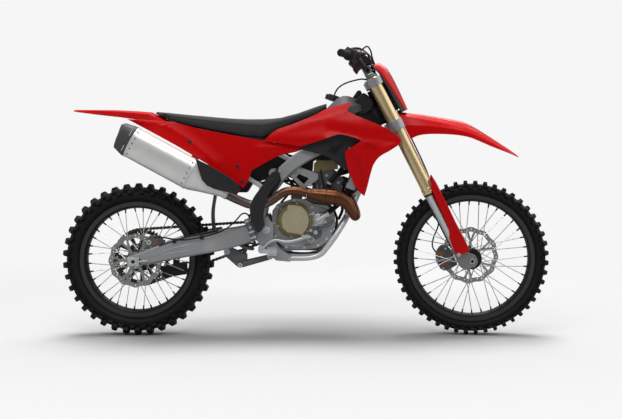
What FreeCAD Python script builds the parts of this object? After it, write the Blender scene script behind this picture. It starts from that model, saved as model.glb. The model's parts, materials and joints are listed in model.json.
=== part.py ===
import FreeCAD, Part
import functools
import math
import os

# Motocross bike, in millimetres. X points forward with 0 at the rear axle, Y points to the
# rider's left, Z points up with 0 at the ground. Everything is written out about the rider's
# place on the seat, SEAT_X, SEAT_Z. The front end is drawn straight ahead in fork coordinates
# (forward of the axle across the legs, left, up along the legs) and then turned and leaned.

# Chassis dimensions
WHEELBASE = 1494.0
RAKE = 26.57
SEAT_X = 568.0
SEAT_Z = 968.0
REST_STEER = 5.0
PIVOT_X = 582.0
PIVOT_Z = 477.0
CLEAR = 0.3
GAP = 5.0

# Wheels
FRONT_TYRE_R = 346.5
FRONT_TYRE_HALF = 43.0
FRONT_RIM_R = 279.0
FRONT_RIM_INNER = 253.0
FRONT_RIM_HALF = 25.0
REAR_TYRE_R = 340.0
REAR_TYRE_HALF = 57.0
REAR_RIM_R = 254.0
REAR_RIM_INNER = 228.0
REAR_RIM_HALF = 33.0
SPOKES = 36
FRONT_LUGS = 48
REAR_LUGS = 38
LUG_HIGH = 12.0
LUG_SHARE = 0.46
CORNER_SHARE = 0.125
SPOKE_R = 2.0
FRONT_AXLE_R = 11.0
FRONT_AXLE_BORE = 7.5
REAR_AXLE_R = 12.5
REAR_AXLE_BORE = 8.0
SHAFT_PLAY = 0.1
FRONT_DISC_R = 130.0
FRONT_DISC_Y = 63.0
REAR_DISC_R = 120.0
REAR_DISC_Y = 74.0
DISC_THICK = 3.5

# Chain drive
PITCH = 15.875
REAR_TEETH = 50
FRONT_TEETH = 13
CHAIN_Y = 74.0
LINK_HALF = 7.2
PLATE_THICK = 4.4
CHAIN_INSIDE = 7.2
ROLLER_FROM = 84.0
SPROCKET_THICK = 5.6
OUTPUT_X = 655.0
OUTPUT_Z = 478.0

# Fork
AXLE_LEAD = 34.0
STEM_LEAD = 56.0
LEG_Y = 101.0
GOLD_R = 28.5
SLIDER_R = 24.5
GOLD_FROM = 347.0
GOLD_TO = 925.0
LOW_CLAMP = 682.0
LOW_CLAMP_HALF = 24.0
TOP_CLAMP = 893.0
TOP_CLAMP_HALF = 17.0
STEM_R = 15.0
CLAMP_SWEEP = 38.0
HEAD_R = 29.0

# Frame
SPAR_Y = 97.0
SPAR_HALF = 13.0
CRADLE_R = 12.5
CRADLE_Y = 82.0
ARM_REAR_Y = 107.0
ARM_FRONT_Y = 52.0
YOKE_X = REAR_TYRE_R + 108.0
SHEET = 3.0
SHOCK_TOP = (584.0, 706.0)
SHOCK_LOW = (470.0, 350.0)
LINK_EYE = (400.0, 372.0)
PULL_EYE = (464.0, 318.0)


def at(x, y, z):
    return FreeCAD.Vector(x, y, z)


def rod(start, end, radius):
    axis = end - start
    return Part.makeCylinder(radius, axis.Length, start, axis)


def cross_rod(x, z, radius, y_from, y_to):
    return rod(at(x, y_from, z), at(x, y_to, z), radius)


def mirrored(shape):
    return shape.mirror(at(0, 0, 0), at(0, 1, 0))


def joined(shapes):
    first = shapes[0]
    if len(shapes) == 1:
        return first
    return first.fuse(shapes[1:]).removeSplitter()


def both_sides(shape):
    return Part.makeCompound([shape, mirrored(shape)])


def outline(strokes):
    """Closed wire in the XZ plane: a stroke of two points is straight, a longer one a curve."""
    edges = []
    for stroke in strokes:
        points = [at(x, 0, z) for x, z in stroke]
        if len(points) == 2:
            edges.append(Part.makeLine(points[0], points[1]))
        else:
            curve = Part.BSplineCurve()
            curve.interpolate(points)
            edges.append(curve.toShape())
    return Part.Wire(edges)


def polygon(points):
    corners = [at(x, 0, z) for x, z in points]
    return Part.makePolygon(corners + corners[:1])


def slab(wire, y_from, y_to):
    face = Part.Face(wire)
    face.translate(at(0, y_from, 0))
    return face.extrude(at(0, y_to - y_from, 0))


def block(x_from, x_to, y_from, y_to, z_from, z_to):
    return Part.makeBox(x_to - x_from, y_to - y_from, z_to - z_from, at(x_from, y_from, z_from))


def arc_radius(before, corner, after, share):
    """Length cut off each run at a bend, radius of the arc put there and its turn."""
    back = before - corner
    ahead = after - corner
    reach = share * min(back.Length, ahead.Length)
    turn = math.pi - back.getAngle(ahead)
    return reach, reach / math.tan(turn / 2), turn


def bent_tube(points, radius, share=0.45):
    """Straight runs joined by tangent arcs, as large as the shorter run beside each allows."""
    pieces = []
    start = points[0]
    for before, corner, after in zip(points, points[1:], points[2:]):
        reach, arc_r, turn = arc_radius(before, corner, after, share)
        back = before - corner
        ahead = after - corner
        back.normalize()
        ahead.normalize()
        middle = back + ahead
        middle.normalize()
        centre = corner + middle * math.hypot(arc_r, reach)
        arc_from = corner + back * reach
        pieces.append(rod(start, arc_from, radius))
        ring = Part.Face(Part.Wire(Part.makeCircle(radius, arc_from, back * -1)))
        pieces.append(ring.revolve(centre, ahead.cross(back), math.degrees(turn)))
        start = corner + ahead * reach
    pieces.append(rod(start, points[-1], radius))
    return joined(pieces)


def section(centre, ahead, wide, high, corner=0.25):
    """Eight-cornered section across a beam: wide along Y, high across it in the XZ plane."""
    up = at(-ahead.z, 0, ahead.x)
    up.normalize()
    cut = corner * min(wide, high)
    half_w = wide / 2
    half_h = high / 2
    pattern = [
        (half_w, half_h - cut), (half_w - cut, half_h),
        (cut - half_w, half_h), (-half_w, half_h - cut),
        (-half_w, cut - half_h), (cut - half_w, -half_h),
        (half_w - cut, -half_h), (half_w, cut - half_h),
    ]
    points = [centre + at(0, across, 0) + up * rise for across, rise in pattern]
    return Part.makePolygon(points + points[:1])


def upright_section(x, side):
    """Section across the bike at x, from the (half width, height) points of its left side."""
    points = [at(x, half, z) for half, z in side]
    points = points + [at(x, -half, z) for half, z in reversed(side)]
    return Part.makePolygon(points + points[:1])


def beam(stations, ruled=False):
    """Loft along stations of (x, y, z, wide, high)."""
    wires = []
    centres = [at(*station[:3]) for station in stations]
    for i, station in enumerate(stations):
        ahead = centres[min(i + 1, len(centres) - 1)] - centres[max(i - 1, 0)]
        wires.append(section(centres[i], ahead, station[3], station[4]))
    return Part.makeLoft(wires, True, ruled)


def skin(rows, thickness):
    """Smooth sheet through rows of points, thickened to one side."""
    surface = Part.BSplineSurface()
    surface.interpolate([[at(*point) for point in row] for row in rows])
    sheet = surface.toShape()
    solid = sheet.makeOffsetShape(thickness, 0.01, fill=True)
    if solid.ShapeType != "Solid":
        solid = Part.Solid(solid.Shells[0])
    if solid.Volume < 0:
        solid.reverse()
    return solid


def wall_inside(points, wall):
    """An arch of (y, z) points, drawn from -y over its crown to +y, moved in by a wall."""
    inner = []
    for i, (y, z) in enumerate(points):
        y_from, z_from = points[max(i - 1, 0)]
        y_to, z_to = points[min(i + 1, len(points) - 1)]
        run = math.hypot(y_to - y_from, z_to - z_from)
        inner.append((y + wall * (z_to - z_from) / run, z - wall * (y_to - y_from) / run))
    return inner


def arch_ring(x, side, wall):
    """Closed ring across a fender at x, from its left side's (y, z) points, edge first, crown last."""
    arch = side + [(-y, z) for y, z in reversed(side[:-1])]
    ring = arch + list(reversed(wall_inside(arch, wall)))
    return Part.makePolygon([at(x, y, z) for y, z in ring + ring[:1]])


def many_sided(radius_y, radius_z, place, corners=14, fullness=1.0):
    """Closed polygon round the X axis at a place: fullness under 1 squares the oval off."""
    points = []
    for i in range(corners):
        angle = 2 * math.pi * (i + 0.5) / corners
        y = radius_y * math.copysign(abs(math.cos(angle)) ** fullness, math.cos(angle))
        z = radius_z * math.copysign(abs(math.sin(angle)) ** fullness, math.sin(angle))
        points.append(at(0, y, z))
    wire = Part.makePolygon(points + points[:1])
    wire.Placement = place
    return wire


def square_rod(start, end, radius):
    """Four-sided rod, for what repeats many times."""
    axis = end - start
    first = axis.cross(at(0, 1, 0))
    first.normalize()
    second = axis.cross(first)
    second.normalize()
    corners = [start + step * radius for step in (first, second, first * -1, second * -1)]
    return Part.Face(Part.makePolygon(corners + corners[:1])).extrude(axis)


def turned_profile(points, centre_y=0.0):
    """Solid of revolution about the Y axis from (radius, y) points."""
    corners = [at(radius, y + centre_y, 0) for radius, y in points]
    face = Part.Face(Part.makePolygon(corners + corners[:1]))
    return face.revolve(at(0, 0, 0), at(0, 1, 0), 360)


# Wheels, drawn about the origin with the axle along Y

def ring_of_flats(profile, sides):
    """Ring about the Y axis with flat faces, from a closed profile of (radius, y) points."""
    rings = []
    for i in range(sides):
        angle = 2 * math.pi * (i - CORNER_SHARE) / sides
        rings.append([at(r * math.cos(angle), y, r * math.sin(angle)) for r, y in profile])
    faces = []
    for ring, after in zip(rings, rings[1:] + rings[:1]):
        for k in range(len(profile)):
            m = (k + 1) % len(profile)
            corners = [ring[k], ring[m], after[m], after[k]]
            faces.append(Part.Face(Part.makePolygon(corners + corners[:1])))
    solid = Part.Solid(Part.makeShell(faces))
    if solid.Volume < 0:
        solid.reverse()
    return solid


def lug_row(lugs, long, wide, radius, y, lean, shift):
    """Row of lugs round the wheel: each leans outwards by lean degrees and stands LUG_HIGH proud."""
    row = []
    for i in range(lugs):
        lug = Part.makeBox(long, wide, 2 * LUG_HIGH, at(-long / 2, -wide / 2, -LUG_HIGH))
        lug.rotate(at(0, 0, 0), at(1, 0, 0), -lean)
        lug.translate(at(0, y, radius))
        lug.rotate(at(0, 0, 0), at(0, 1, 0), 360.0 * (i + shift) / lugs)
        row.append(lug)
    return row


def tyre(outer, half, bead_r, bead_half, lugs):
    """Carcass with a row of lugs round its crown and a row on each shoulder, half a pitch on."""
    sides = lugs // 2
    crown = outer - LUG_HIGH
    wall = crown - bead_r
    bead = (bead_r + CLEAR) / math.cos(math.pi / sides)
    profile = [
        (bead, bead_half - 4), (bead_r + 0.52 * wall, 0.95 * half), (crown - 15, 0.8 * half),
        (crown, 0.4 * half),
    ]
    profile = profile + [(radius, -y) for radius, y in reversed(profile)]
    long = LUG_SHARE * 2 * math.pi * crown / lugs
    rows = lug_row(lugs, long, 0.8 * half, crown, 0, 0, 0.0)
    for side in (-1, 1):
        rows.extend(lug_row(lugs, long, 0.4 * half, crown - 13, side * 0.72 * half, side * 48, 0.5))
    return joined([ring_of_flats(profile, sides)] + rows)


def rim(outer, inner, half):
    """Drop-centre rim: two flanges and a well that the spokes pull on."""
    profile = [
        (outer, half), (outer, half - 3), (outer - 9, half - 5), (outer - 11, half - 11), (inner + 5, 9),
        (inner + 5, -9), (outer - 11, 11 - half), (outer - 9, 5 - half), (outer, 3 - half), (outer, -half),
        (outer - 14, -half), (inner, -9), (inner, 9), (outer - 14, half),
    ]
    return turned_profile(profile)


def spoked_hub(profile, flange_r, flange_y, rim_inner, tilt):
    """Hub with crossed spokes, laced from each flange to the inside of the rim."""
    pieces = [turned_profile(profile)]
    for i in range(SPOKES):
        side = 1 if i % 2 else -1
        forward = (i // 2) % 2
        lean = tilt if forward else -tilt
        hub_y = side * (flange_y + (3 if forward else -3))
        rim_angle = 2 * math.pi * (i + 0.5) / SPOKES
        hub_angle = rim_angle + lean
        inner = at(flange_r * math.cos(hub_angle), hub_y, flange_r * math.sin(hub_angle))
        reach = rim_inner - 1.0
        outer = at(reach * math.cos(rim_angle), side * 5.0, reach * math.sin(rim_angle))
        pieces.append(square_rod(inner, outer, SPOKE_R))
    return joined(pieces)


def brake_disc(outer, band, carrier_r, bolt_r, y, waves=10):
    """Wave disc: a band with scalloped edge held by arms from the bolt circle."""
    y_from = y - DISC_THICK / 2
    y_to = y + DISC_THICK / 2
    plate = slab(polygon(wave_ring(outer, 3.0, waves)), y_from, y_to)
    plate = plate.cut(slab(polygon(wave_ring(outer - band, 3.0, waves)), y_from - 1, y_to + 1))
    arms = []
    for i in range(6):
        angle = 360.0 * i / 6
        arm = block(bolt_r - 4, outer - band + 6, y_from, y_to, -9, 9)
        arm.rotate(at(0, 0, 0), at(0, 1, 0), angle)
        arms.append(arm)
    ring = [(carrier_r, y_from), (bolt_r + 10, y_from), (bolt_r + 10, y_to), (carrier_r, y_to)]
    carrier = turned_profile(ring)
    return joined([plate, carrier] + arms)


def wave_ring(radius, depth, waves):
    points = []
    for i in range(4 * waves):
        angle = 2 * math.pi * i / (4 * waves)
        r = radius - depth * (0, 0.5, 1, 0.5)[i % 4]
        points.append((r * math.cos(angle), r * math.sin(angle)))
    return points


def sprocket(teeth, y, bore, windows=0, window_r=0.0, window_at=0.0):
    """Toothed plate: the tips stand above the pitch circle between the side plates of the chain."""
    pitch_r = PITCH / (2 * math.sin(math.pi / teeth))
    tip_r = pitch_r + 4.6
    root_r = pitch_r - 4.2
    points = []
    for i in range(teeth):
        for share, radius in ((-0.16, tip_r), (0.16, tip_r), (0.38, root_r), (0.62, root_r)):
            angle = 2 * math.pi * (i + share) / teeth
            points.append((radius * math.cos(angle), radius * math.sin(angle)))
    plate = slab(polygon(points), y - SPROCKET_THICK / 2, y + SPROCKET_THICK / 2)
    holes = [cross_rod(0, 0, bore, y - 9, y + 9)]
    for i in range(windows):
        angle = 2 * math.pi * (i + 0.5) / windows
        x = window_at * math.cos(angle)
        z = window_at * math.sin(angle)
        holes.append(cross_rod(x, z, window_r, y - 9, y + 9))
    return plate.cut(holes)


def placed_wheel(shape, axle):
    shape = shape.copy()
    shape.translate(axle)
    return shape


# Front wheel

def front_tyre():
    return tyre(FRONT_TYRE_R, FRONT_TYRE_HALF, FRONT_RIM_R, FRONT_RIM_HALF, FRONT_LUGS)


def front_rim():
    return rim(FRONT_RIM_R, FRONT_RIM_INNER, FRONT_RIM_HALF)


def front_hub():
    bore = FRONT_AXLE_R + SHAFT_PLAY
    seat_y = FRONT_DISC_Y - DISC_THICK / 2
    profile = [
        (bore, -58), (20, -58), (22, -52), (46, -48), (46, -38), (24, -30), (21, 0),
        (24, 32), (42, 38), (42, 48), (34, 52), (34, seat_y), (bore, seat_y),
    ]
    return spoked_hub(profile, 37.0, 43.0, FRONT_RIM_INNER, 0.95)


def front_disc():
    return brake_disc(FRONT_DISC_R, 21.0, 22.0, 30.0, FRONT_DISC_Y)


# Rear wheel

def rear_tyre():
    return tyre(REAR_TYRE_R, REAR_TYRE_HALF, REAR_RIM_R, REAR_RIM_HALF, REAR_LUGS)


def rear_rim():
    return rim(REAR_RIM_R, REAR_RIM_INNER, REAR_RIM_HALF)


def rear_hub():
    bore = REAR_AXLE_R + SHAFT_PLAY
    disc_seat = -(REAR_DISC_Y - DISC_THICK / 2)
    chain_seat = CHAIN_Y - SPROCKET_THICK / 2
    profile = [
        (bore, disc_seat), (34, disc_seat), (34, -60), (44, -54), (44, -42), (28, -34),
        (28, 30), (48, 40), (48, 52), (62, 58), (62, chain_seat), (bore, chain_seat),
    ]
    return spoked_hub(profile, 39.0, 47.0, REAR_RIM_INNER, 0.85)


def rear_disc():
    return brake_disc(REAR_DISC_R, 20.0, 24.0, 32.0, -REAR_DISC_Y)


def rear_sprocket():
    return sprocket(REAR_TEETH, CHAIN_Y, 28.0, windows=12, window_r=17.0, window_at=92.0)


# Fork, drawn in fork coordinates

def leg_rod(side, low, high, radius):
    x = -AXLE_LEAD
    return rod(at(x, side * LEG_Y, low), at(x, side * LEG_Y, high), radius)


def fork_tubes():
    """Outer tubes of the upside-down fork, with the raised band at the mouth of each."""
    legs = []
    for side in (-1, 1):
        gold = leg_rod(side, GOLD_FROM, GOLD_TO, GOLD_R)
        mouth = leg_rod(side, GOLD_FROM, GOLD_FROM + 26, GOLD_R + 2)
        cap = leg_rod(side, GOLD_TO, GOLD_TO + 9, GOLD_R - 5)
        legs.append(joined([gold, mouth, cap]))
    return Part.makeCompound(legs)


def fork_lowers():
    """Inner tubes with the cast feet that clamp the axle ahead of each leg."""
    legs = []
    for side in (-1, 1):
        slider = leg_rod(side, 26, GOLD_FROM - CLEAR, SLIDER_R)
        foot_outline = [(-60, 60), (-60, 5), (-40, -24), (4, -26), (24, -10), (24, 14), (8, 30), (-8, 62)]
        foot = slab(polygon(foot_outline), side * LEG_Y - 19, side * LEG_Y + 19)
        collar = leg_rod(side, 62, 84, SLIDER_R + 5)
        pieces = [slider, foot, collar]
        if side > 0:
            pieces.append(block(-66 + CLEAR, -50, LEG_Y - 19, LEG_Y - 7, -8, 8))
            pieces.append(block(-66 + CLEAR, -50, LEG_Y - 19, LEG_Y - 7, 44, 58))
        hole = cross_rod(0, 0, FRONT_AXLE_R + CLEAR, side * LEG_Y - 30, side * LEG_Y + 30)
        legs.append(joined(pieces).cut(hole))
    return Part.makeCompound(legs)


def fork_guards():
    """Moulded guards: an outer wall and a front wall along each inner tube, bolted to its foot."""
    outer_y = LEG_Y + GOLD_R + 8
    inner_y = LEG_Y - 28
    front = [(8, 404), (12.6, 363), (13.3, 265), (11, 162), (12, 108), (13, 49)]
    rear = [(-47, 47), (-51, 82), (-45, 139), (-29.5, 168), (-25, 234), (-22, 300), (-18, 370)]
    body = slab(polygon(front + rear), inner_y, outer_y)
    pulled = [(x - SHEET - 1, z) for x, z in front]
    behind = [(-90, 41), (-90, 410)]
    guard = body.cut(slab(polygon(pulled + behind), inner_y - 1, outer_y - SHEET))
    around_leg = leg_rod(1, 0, 500, GOLD_R + 2 + CLEAR)
    foot_room = block(-80, 60, inner_y - 2, LEG_Y + 19 + CLEAR, -40, 64)
    boss = cross_rod(-40, 52, 8, LEG_Y + SLIDER_R + CLEAR, outer_y - 1)
    return both_sides(joined([guard.cut([around_leg, foot_room]), boss]))


def front_axle():
    left = LEG_Y + 26
    right = -(LEG_Y + 24)
    shaft = cross_rod(0, 0, FRONT_AXLE_R, right, left)
    head = cross_rod(0, 0, FRONT_AXLE_R + 4, LEG_Y + 19 + CLEAR, left)
    return joined([shaft, head]).cut(cross_rod(0, 0, FRONT_AXLE_BORE, right - 5, left + 5))


def clamp_plate(level, half, front_x, bore):
    """One triple clamp: a bridge with a split boss round each leg."""
    low = level - half
    high = level + half
    boss_r = GOLD_R + 9
    bridge_outline = [
        (-AXLE_LEAD - 20, -LEG_Y), (-STEM_LEAD - 10, -34), (-STEM_LEAD - 26, -14),
        (-STEM_LEAD - 26, 14), (-STEM_LEAD - 10, 34), (-AXLE_LEAD - 20, LEG_Y),
        (-AXLE_LEAD + 20, LEG_Y), (front_x, 30), (front_x, -30), (-AXLE_LEAD + 20, -LEG_Y),
    ]
    corners = [at(x, y, low + 4) for x, y in bridge_outline]
    bridge = Part.Face(Part.makePolygon(corners + corners[:1])).extrude(at(0, 0, 2 * half - 8))
    pieces = [bridge]
    for side in (-1, 1):
        pieces.append(leg_rod(side, low, high, boss_r))
        leg_y = side * LEG_Y
        pieces.append(block(-AXLE_LEAD - boss_r - 9, -AXLE_LEAD, leg_y - 9, leg_y + 9, low + 3, high - 3))
    plate = joined(pieces)
    holes = [rod(at(-STEM_LEAD, 0, low - 5), at(-STEM_LEAD, 0, high + 5), bore)]
    for side in (-1, 1):
        holes.append(leg_rod(side, low - 5, high + 5, GOLD_R + CLEAR))
        slot_x = -AXLE_LEAD - boss_r - 20
        leg_y = side * LEG_Y
        holes.append(block(slot_x, -AXLE_LEAD, leg_y - 1.5, leg_y + 1.5, low - 5, high + 5))
    return plate.cut(holes)


BAR_X = -40.0
BAR_LEVEL = 957.0
BAR_R = 11.1
MOUNT_Y = 40.0


def top_clamp():
    """Upper clamp with the two bar mounts standing on it."""
    plate = clamp_plate(TOP_CLAMP, TOP_CLAMP_HALF, -AXLE_LEAD + 12, STEM_R + CLEAR)
    pieces = [plate]
    for side in (-1, 1):
        y_from = side * MOUNT_Y - 13
        y_to = side * MOUNT_Y + 13
        top = TOP_CLAMP + TOP_CLAMP_HALF - 5
        pieces.append(block(BAR_X - 19, BAR_X + 19, y_from, y_to, top, BAR_LEVEL + 18))
    hole = rod(at(BAR_X, -90, BAR_LEVEL), at(BAR_X, 90, BAR_LEVEL), BAR_R + CLEAR)
    return joined(pieces).cut(hole)


FENDER_FROM = -3.0


def bottom_clamp():
    """Lower clamp with the stem that turns in the head tube, and the fender lugs ahead of it."""
    plate = clamp_plate(LOW_CLAMP, LOW_CLAMP_HALF, FENDER_FROM - CLEAR, STEM_R - 1)
    stem_low = LOW_CLAMP - LOW_CLAMP_HALF + 2
    plate_top = TOP_CLAMP + TOP_CLAMP_HALF
    stem = rod(at(-STEM_LEAD, 0, stem_low), at(-STEM_LEAD, 0, plate_top + 4), STEM_R)
    nut = rod(at(-STEM_LEAD, 0, plate_top - 4 + CLEAR), at(-STEM_LEAD, 0, plate_top + 8), STEM_R + 6)
    lugs = [block(-14, 24, side * 20 - 6, side * 20 + 6, 694, 709.5) for side in (-1, 1)]
    return joined([plate, stem, nut] + lugs)


def handlebar():
    """Tapered bar: level in the mounts, up to the bends, then out to the grips."""
    right = [at(BAR_X, -82, BAR_LEVEL), at(-53, -168, 1032), at(-97, -400, 1050)]
    left = [at(p.x, -p.y, p.z) for p in reversed(right)]
    bar = bent_tube(left + right, BAR_R, share=0.24)
    brace = rod(at(-50, -128, 1000), at(-50, 128, 1000), 5.0)
    return joined([bar, brace])


GRIP_R = 16.5


def bar_end_rod(y_from, y_to, radius):
    """Cylinder about the outer run of the bar on the right."""
    inner = at(-53, -168, 1032)
    outer = at(-97, -400, 1050)
    along = outer - inner
    start = inner + along * ((-168 - y_from) / 232.0)
    end = inner + along * ((-168 - y_to) / 232.0)
    return rod(start, end, radius)


def grips():
    """Rubber grips with a flange at the inner end and a closed outer end."""
    sleeve = joined([bar_end_rod(-284, -404, GRIP_R), bar_end_rod(-284, -288, GRIP_R + 9)])
    right = sleeve.cut(bar_end_rod(-200, -400.5, BAR_R + CLEAR))
    return Part.makeCompound([right, mirrored(right)])


def bar_controls():
    """Throttle housing, brake master cylinder and lever on the right; clutch lever on the left."""
    hole = bar_end_rod(-150, -420, BAR_R + CLEAR)
    housing = joined([bar_end_rod(-252, -283, 28), block(-108, -60, -278, -256, 1050, 1072)]).cut(hole)
    perch = joined([bar_end_rod(-226, -246, 19), block(-70, -28, -246, -214, 1010, 1040)])
    reservoir = block(-62, -34, -250, -206, 1028, 1056)
    blade = [at(-36, -232, 1020), at(-10, -262, 1012), at(-22, -330, 1018), at(-42, -398, 1026)]
    lever = bent_tube(blade, 5.5)
    right = joined([perch, reservoir, lever]).cut(hole)
    clutch_perch = joined([bar_end_rod(-226, -252, 18), block(-64, -28, -250, -226, 1008, 1036)])
    left = mirrored(joined([clutch_perch.cut(hole), lever]))
    switch = mirrored(bar_end_rod(-262, -282, 17).cut(hole))
    return Part.makeCompound([housing, right, left, switch])


def bar_pad():
    """Foam pad round the cross brace, above the mounts."""
    pad_outline = [
        (-94, 966), (-78, 978), (-60, 983), (-36, 983), (-12, 976), (-4, 984), (-4, 1002), (-14, 1018),
        (-27, 1024), (-62, 1020), (-94, 998),
    ]
    pad = slab(polygon(pad_outline), -84, 84)
    brace_room = rod(at(-50, -130, 1000), at(-50, 130, 1000), 5.0 + CLEAR)
    bar_room = rod(at(BAR_X, -130, BAR_LEVEL), at(BAR_X, 130, BAR_LEVEL), BAR_R + 8)
    return pad.cut([brace_room, bar_room])


def number_plate():
    """Blank front plate, bowed back at its sides and top, hung from the bar and the lower clamp."""
    rings = []
    stations = (
        (722, 66, 43, 28), (790, 86, 46, 34), (860, 104, 47, 38), (925, 108, 44, 40), (966, 92, 22, 34),
    )
    for level, half, front, sweep in stations:
        face = [(front - sweep * abs(share) ** 2.4, share * half) for share in (-1, -0.55, 0, 0.55, 1)]
        ring = face + [(x - SHEET, y) for x, y in reversed(face)]
        rings.append(Part.makePolygon([at(x, y, level) for x, y in ring + ring[:1]]))
    return Part.makeLoft(rings, True, False)


def front_fender():
    """Long beak: a crowned back, a crease along each side, and skirts that fade towards the tip."""
    stations = (
        (FENDER_FROM, 735, 58, 724, 74, 596), (60, 694, 60, 671, 78, 590), (121, 652, 62, 626, 80, 562),
        (176, 612, 62, 584, 81, 531), (238, 563, 60, 531, 80, 484), (277, 513, 50, 487, 70, 440),
        (336, 415, 38, 398, 56, 372), (376, 345, 24, 338, 36, 328), (390, 317, 10, 315, 15, 311),
    )
    rings = []
    for x, crown, crease_y, crease, half, low in stations:
        side = [(-half, low), (4 - half, low + 0.55 * (crease - low)), (-crease_y, crease)]
        side = side + [(-0.5 * crease_y, crown - 0.3 * (crown - crease)), (0, crown)]
        rings.append(arch_ring(x, side, SHEET))
    return Part.makeLoft(rings, True, False)


@functools.cache
def front_caliper():
    """Two-piston caliper behind the left leg, astride the disc, on a bracket from the foot."""
    body_outline = [(-66, 66), (-90, 98), (-128, 84), (-150, 44), (-146, 2), (-118, -16), (-66, -14)]
    body = slab(polygon(body_outline), 44, 94)
    pad_half = DISC_THICK / 2 + 2
    slot = cross_rod(0, 0, FRONT_DISC_R + GAP, FRONT_DISC_Y - pad_half, FRONT_DISC_Y + pad_half)
    wheel_room = cross_rod(0, 0, FRONT_DISC_R - 34, 30, FRONT_DISC_Y)
    return body.cut(slot).cut(wheel_room)


HOSE_R = 3.5
FRONT_HOSE = (
    (-24, -226, 1034), (10, -190, 1046), (16, -120, 1026), (4, -48, 992), (2, 24, 950), (6, 72, 898),
    (3, 102, 846), (1, 122, 780), (2, 131, 690), (1, 136, 560), (-2, 142.5, 440), (-14, 144, 340),
    (-36, 144, 240), (-68, 142, 172), (-110, 134, 140), (-138, 118, 106), (-132, 92, 72),
)


def brake_hose():
    """Brake line from the bar, past the front of the left leg, to the caliper behind it."""
    return bent_tube([at(*p) for p in FRONT_HOSE], HOSE_R).cut(front_caliper())


# Frame

def fork_point(x, y, level):
    """A point given in fork coordinates, in bike coordinates, straight ahead."""
    lean = math.radians(RAKE)
    bike_x = WHEELBASE + x * math.cos(lean) - level * math.sin(lean)
    bike_z = FRONT_TYRE_R + x * math.sin(lean) + level * math.cos(lean)
    return at(bike_x, y, bike_z)


def head_end(above):
    low = LOW_CLAMP + LOW_CLAMP_HALF + GAP
    high = TOP_CLAMP - TOP_CLAMP_HALF - GAP
    return fork_point(-STEM_LEAD, 0, low + above * (high - low))


def clamp_room(level, half):
    """The round space that a clamp's bridge sweeps behind the stem as the bars turn."""
    reach = CLAMP_SWEEP + GAP
    low = fork_point(-STEM_LEAD, 0, level - half - GAP)
    high = fork_point(-STEM_LEAD, 0, level + half + GAP)
    return rod(low, high, reach)


@functools.cache
def main_frame():
    """Head tube, the two spars that bow round the engine, and the plates at the swingarm pivot."""
    head = rod(head_end(0), head_end(1), HEAD_R)
    upper = head_end(0.45)
    stations = [
        (upper.x - 12, 17, upper.z - 4, 24, 120), (upper.x - 94, 50, upper.z - 84, 26, 96),
        (upper.x - 194, 80, upper.z - 138, 26, 74),
        (780, SPAR_Y, 822, 26, 62), (690, SPAR_Y, 762, 26, 58), (625, SPAR_Y, 698, 26, 57),
        (576, SPAR_Y, 628, 26, 58), (548, SPAR_Y, 548, 26, 60), (556, SPAR_Y, 492, 26, 72),
    ]
    spar = beam(stations)
    plate_outline = [
        (528, 500), (520, 470), (538, 432), (572, 392), (624, 344), (686, 338), (690, 364), (640, 396),
        (612, 440), (612, 500), (586, 540),
    ]
    plate = slab(polygon(plate_outline), SPAR_Y - SPAR_HALF, SPAR_Y + SPAR_HALF)
    side = joined([spar, plate])
    cross_top = cross_rod(612, 728, 20, -SPAR_Y, SPAR_Y)
    cross_low = cross_rod(600, 372, 14, -SPAR_Y, SPAR_Y)
    gusset_outline = [(upper.x + x, upper.z + z) for x, z in ((-52, -26), (10, 19), (-2, -61), (-32, -86))]
    gusset = slab(polygon(gusset_outline), -14, 14)
    frame = joined([head, side, mirrored(side), cross_top, cross_low, gusset])
    shock_lug = slab(polygon([(592, 740), (634, 716), (606, 690), (574, 688), (566, 712)]), -26, 26)
    shock_lug = shock_lug.cut(block(540, 600, -13, 13, 670, 740))
    shock_pin = cross_rod(SHOCK_TOP[0], SHOCK_TOP[1], 8, -26, 26)
    frame = joined([frame, shock_lug, shock_pin])
    stem_axis = fork_point(-STEM_LEAD, 0, LOW_CLAMP)
    stem_end = fork_point(-STEM_LEAD, 0, TOP_CLAMP + 60)
    pivot_hole = cross_rod(PIVOT_X, PIVOT_Z, 10 + CLEAR, -140, 140)
    top_room = clamp_room(TOP_CLAMP, TOP_CLAMP_HALF)
    return frame.cut([rod(stem_axis, stem_end, STEM_R + CLEAR), pivot_hole, top_room])


def lower_cradle():
    """Down tube that forks into two rails under the engine."""
    top = head_end(0.12)
    stations = [
        (top.x - 35, 0, top.z - 12, 34, 56), (top.x - 95, 0, top.z - 232, 32, 46),
        (top.x - 155, 0, top.z - 378, 30, 42),
    ]
    down = beam(stations, ruled=True)
    rails = []
    for side in (-1, 1):
        points = [
            at(top.x - 143, side * 8, top.z - 354), at(top.x - 179, side * 56, top.z - 444),
            at(880, side * CRADLE_Y, 440),
            at(822, side * CRADLE_Y, 366), at(770, side * CRADLE_Y, 352), at(672, side * CRADLE_Y, 351),
        ]
        rails.append(bent_tube(points, CRADLE_R))
    head_room = rod(head_end(0), head_end(1), HEAD_R)
    low_room = clamp_room(LOW_CLAMP, LOW_CLAMP_HALF)
    return joined([down] + rails).cut([head_room, low_room, main_frame()])


def engine_mounts():
    """Plates from the spars to the cylinder head and from the rails to the cases."""
    inside = SPAR_Y - SPAR_HALF
    plate_outline = [(676, 726), (706, 762), (808, 724), (808, 700), (764, 668), (742, 654)]
    plate = slab(polygon(plate_outline), inside - 11, inside)
    window = slab(polygon([(712, 708), (724, 724), (768, 704), (746, 678)]), inside - 20, inside + 5)
    boss = cross_rod(797, 712, 9, 58 + CLEAR, inside - 8)
    return both_sides(joined([plate.cut(window), boss]).cut(main_frame()))


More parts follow.
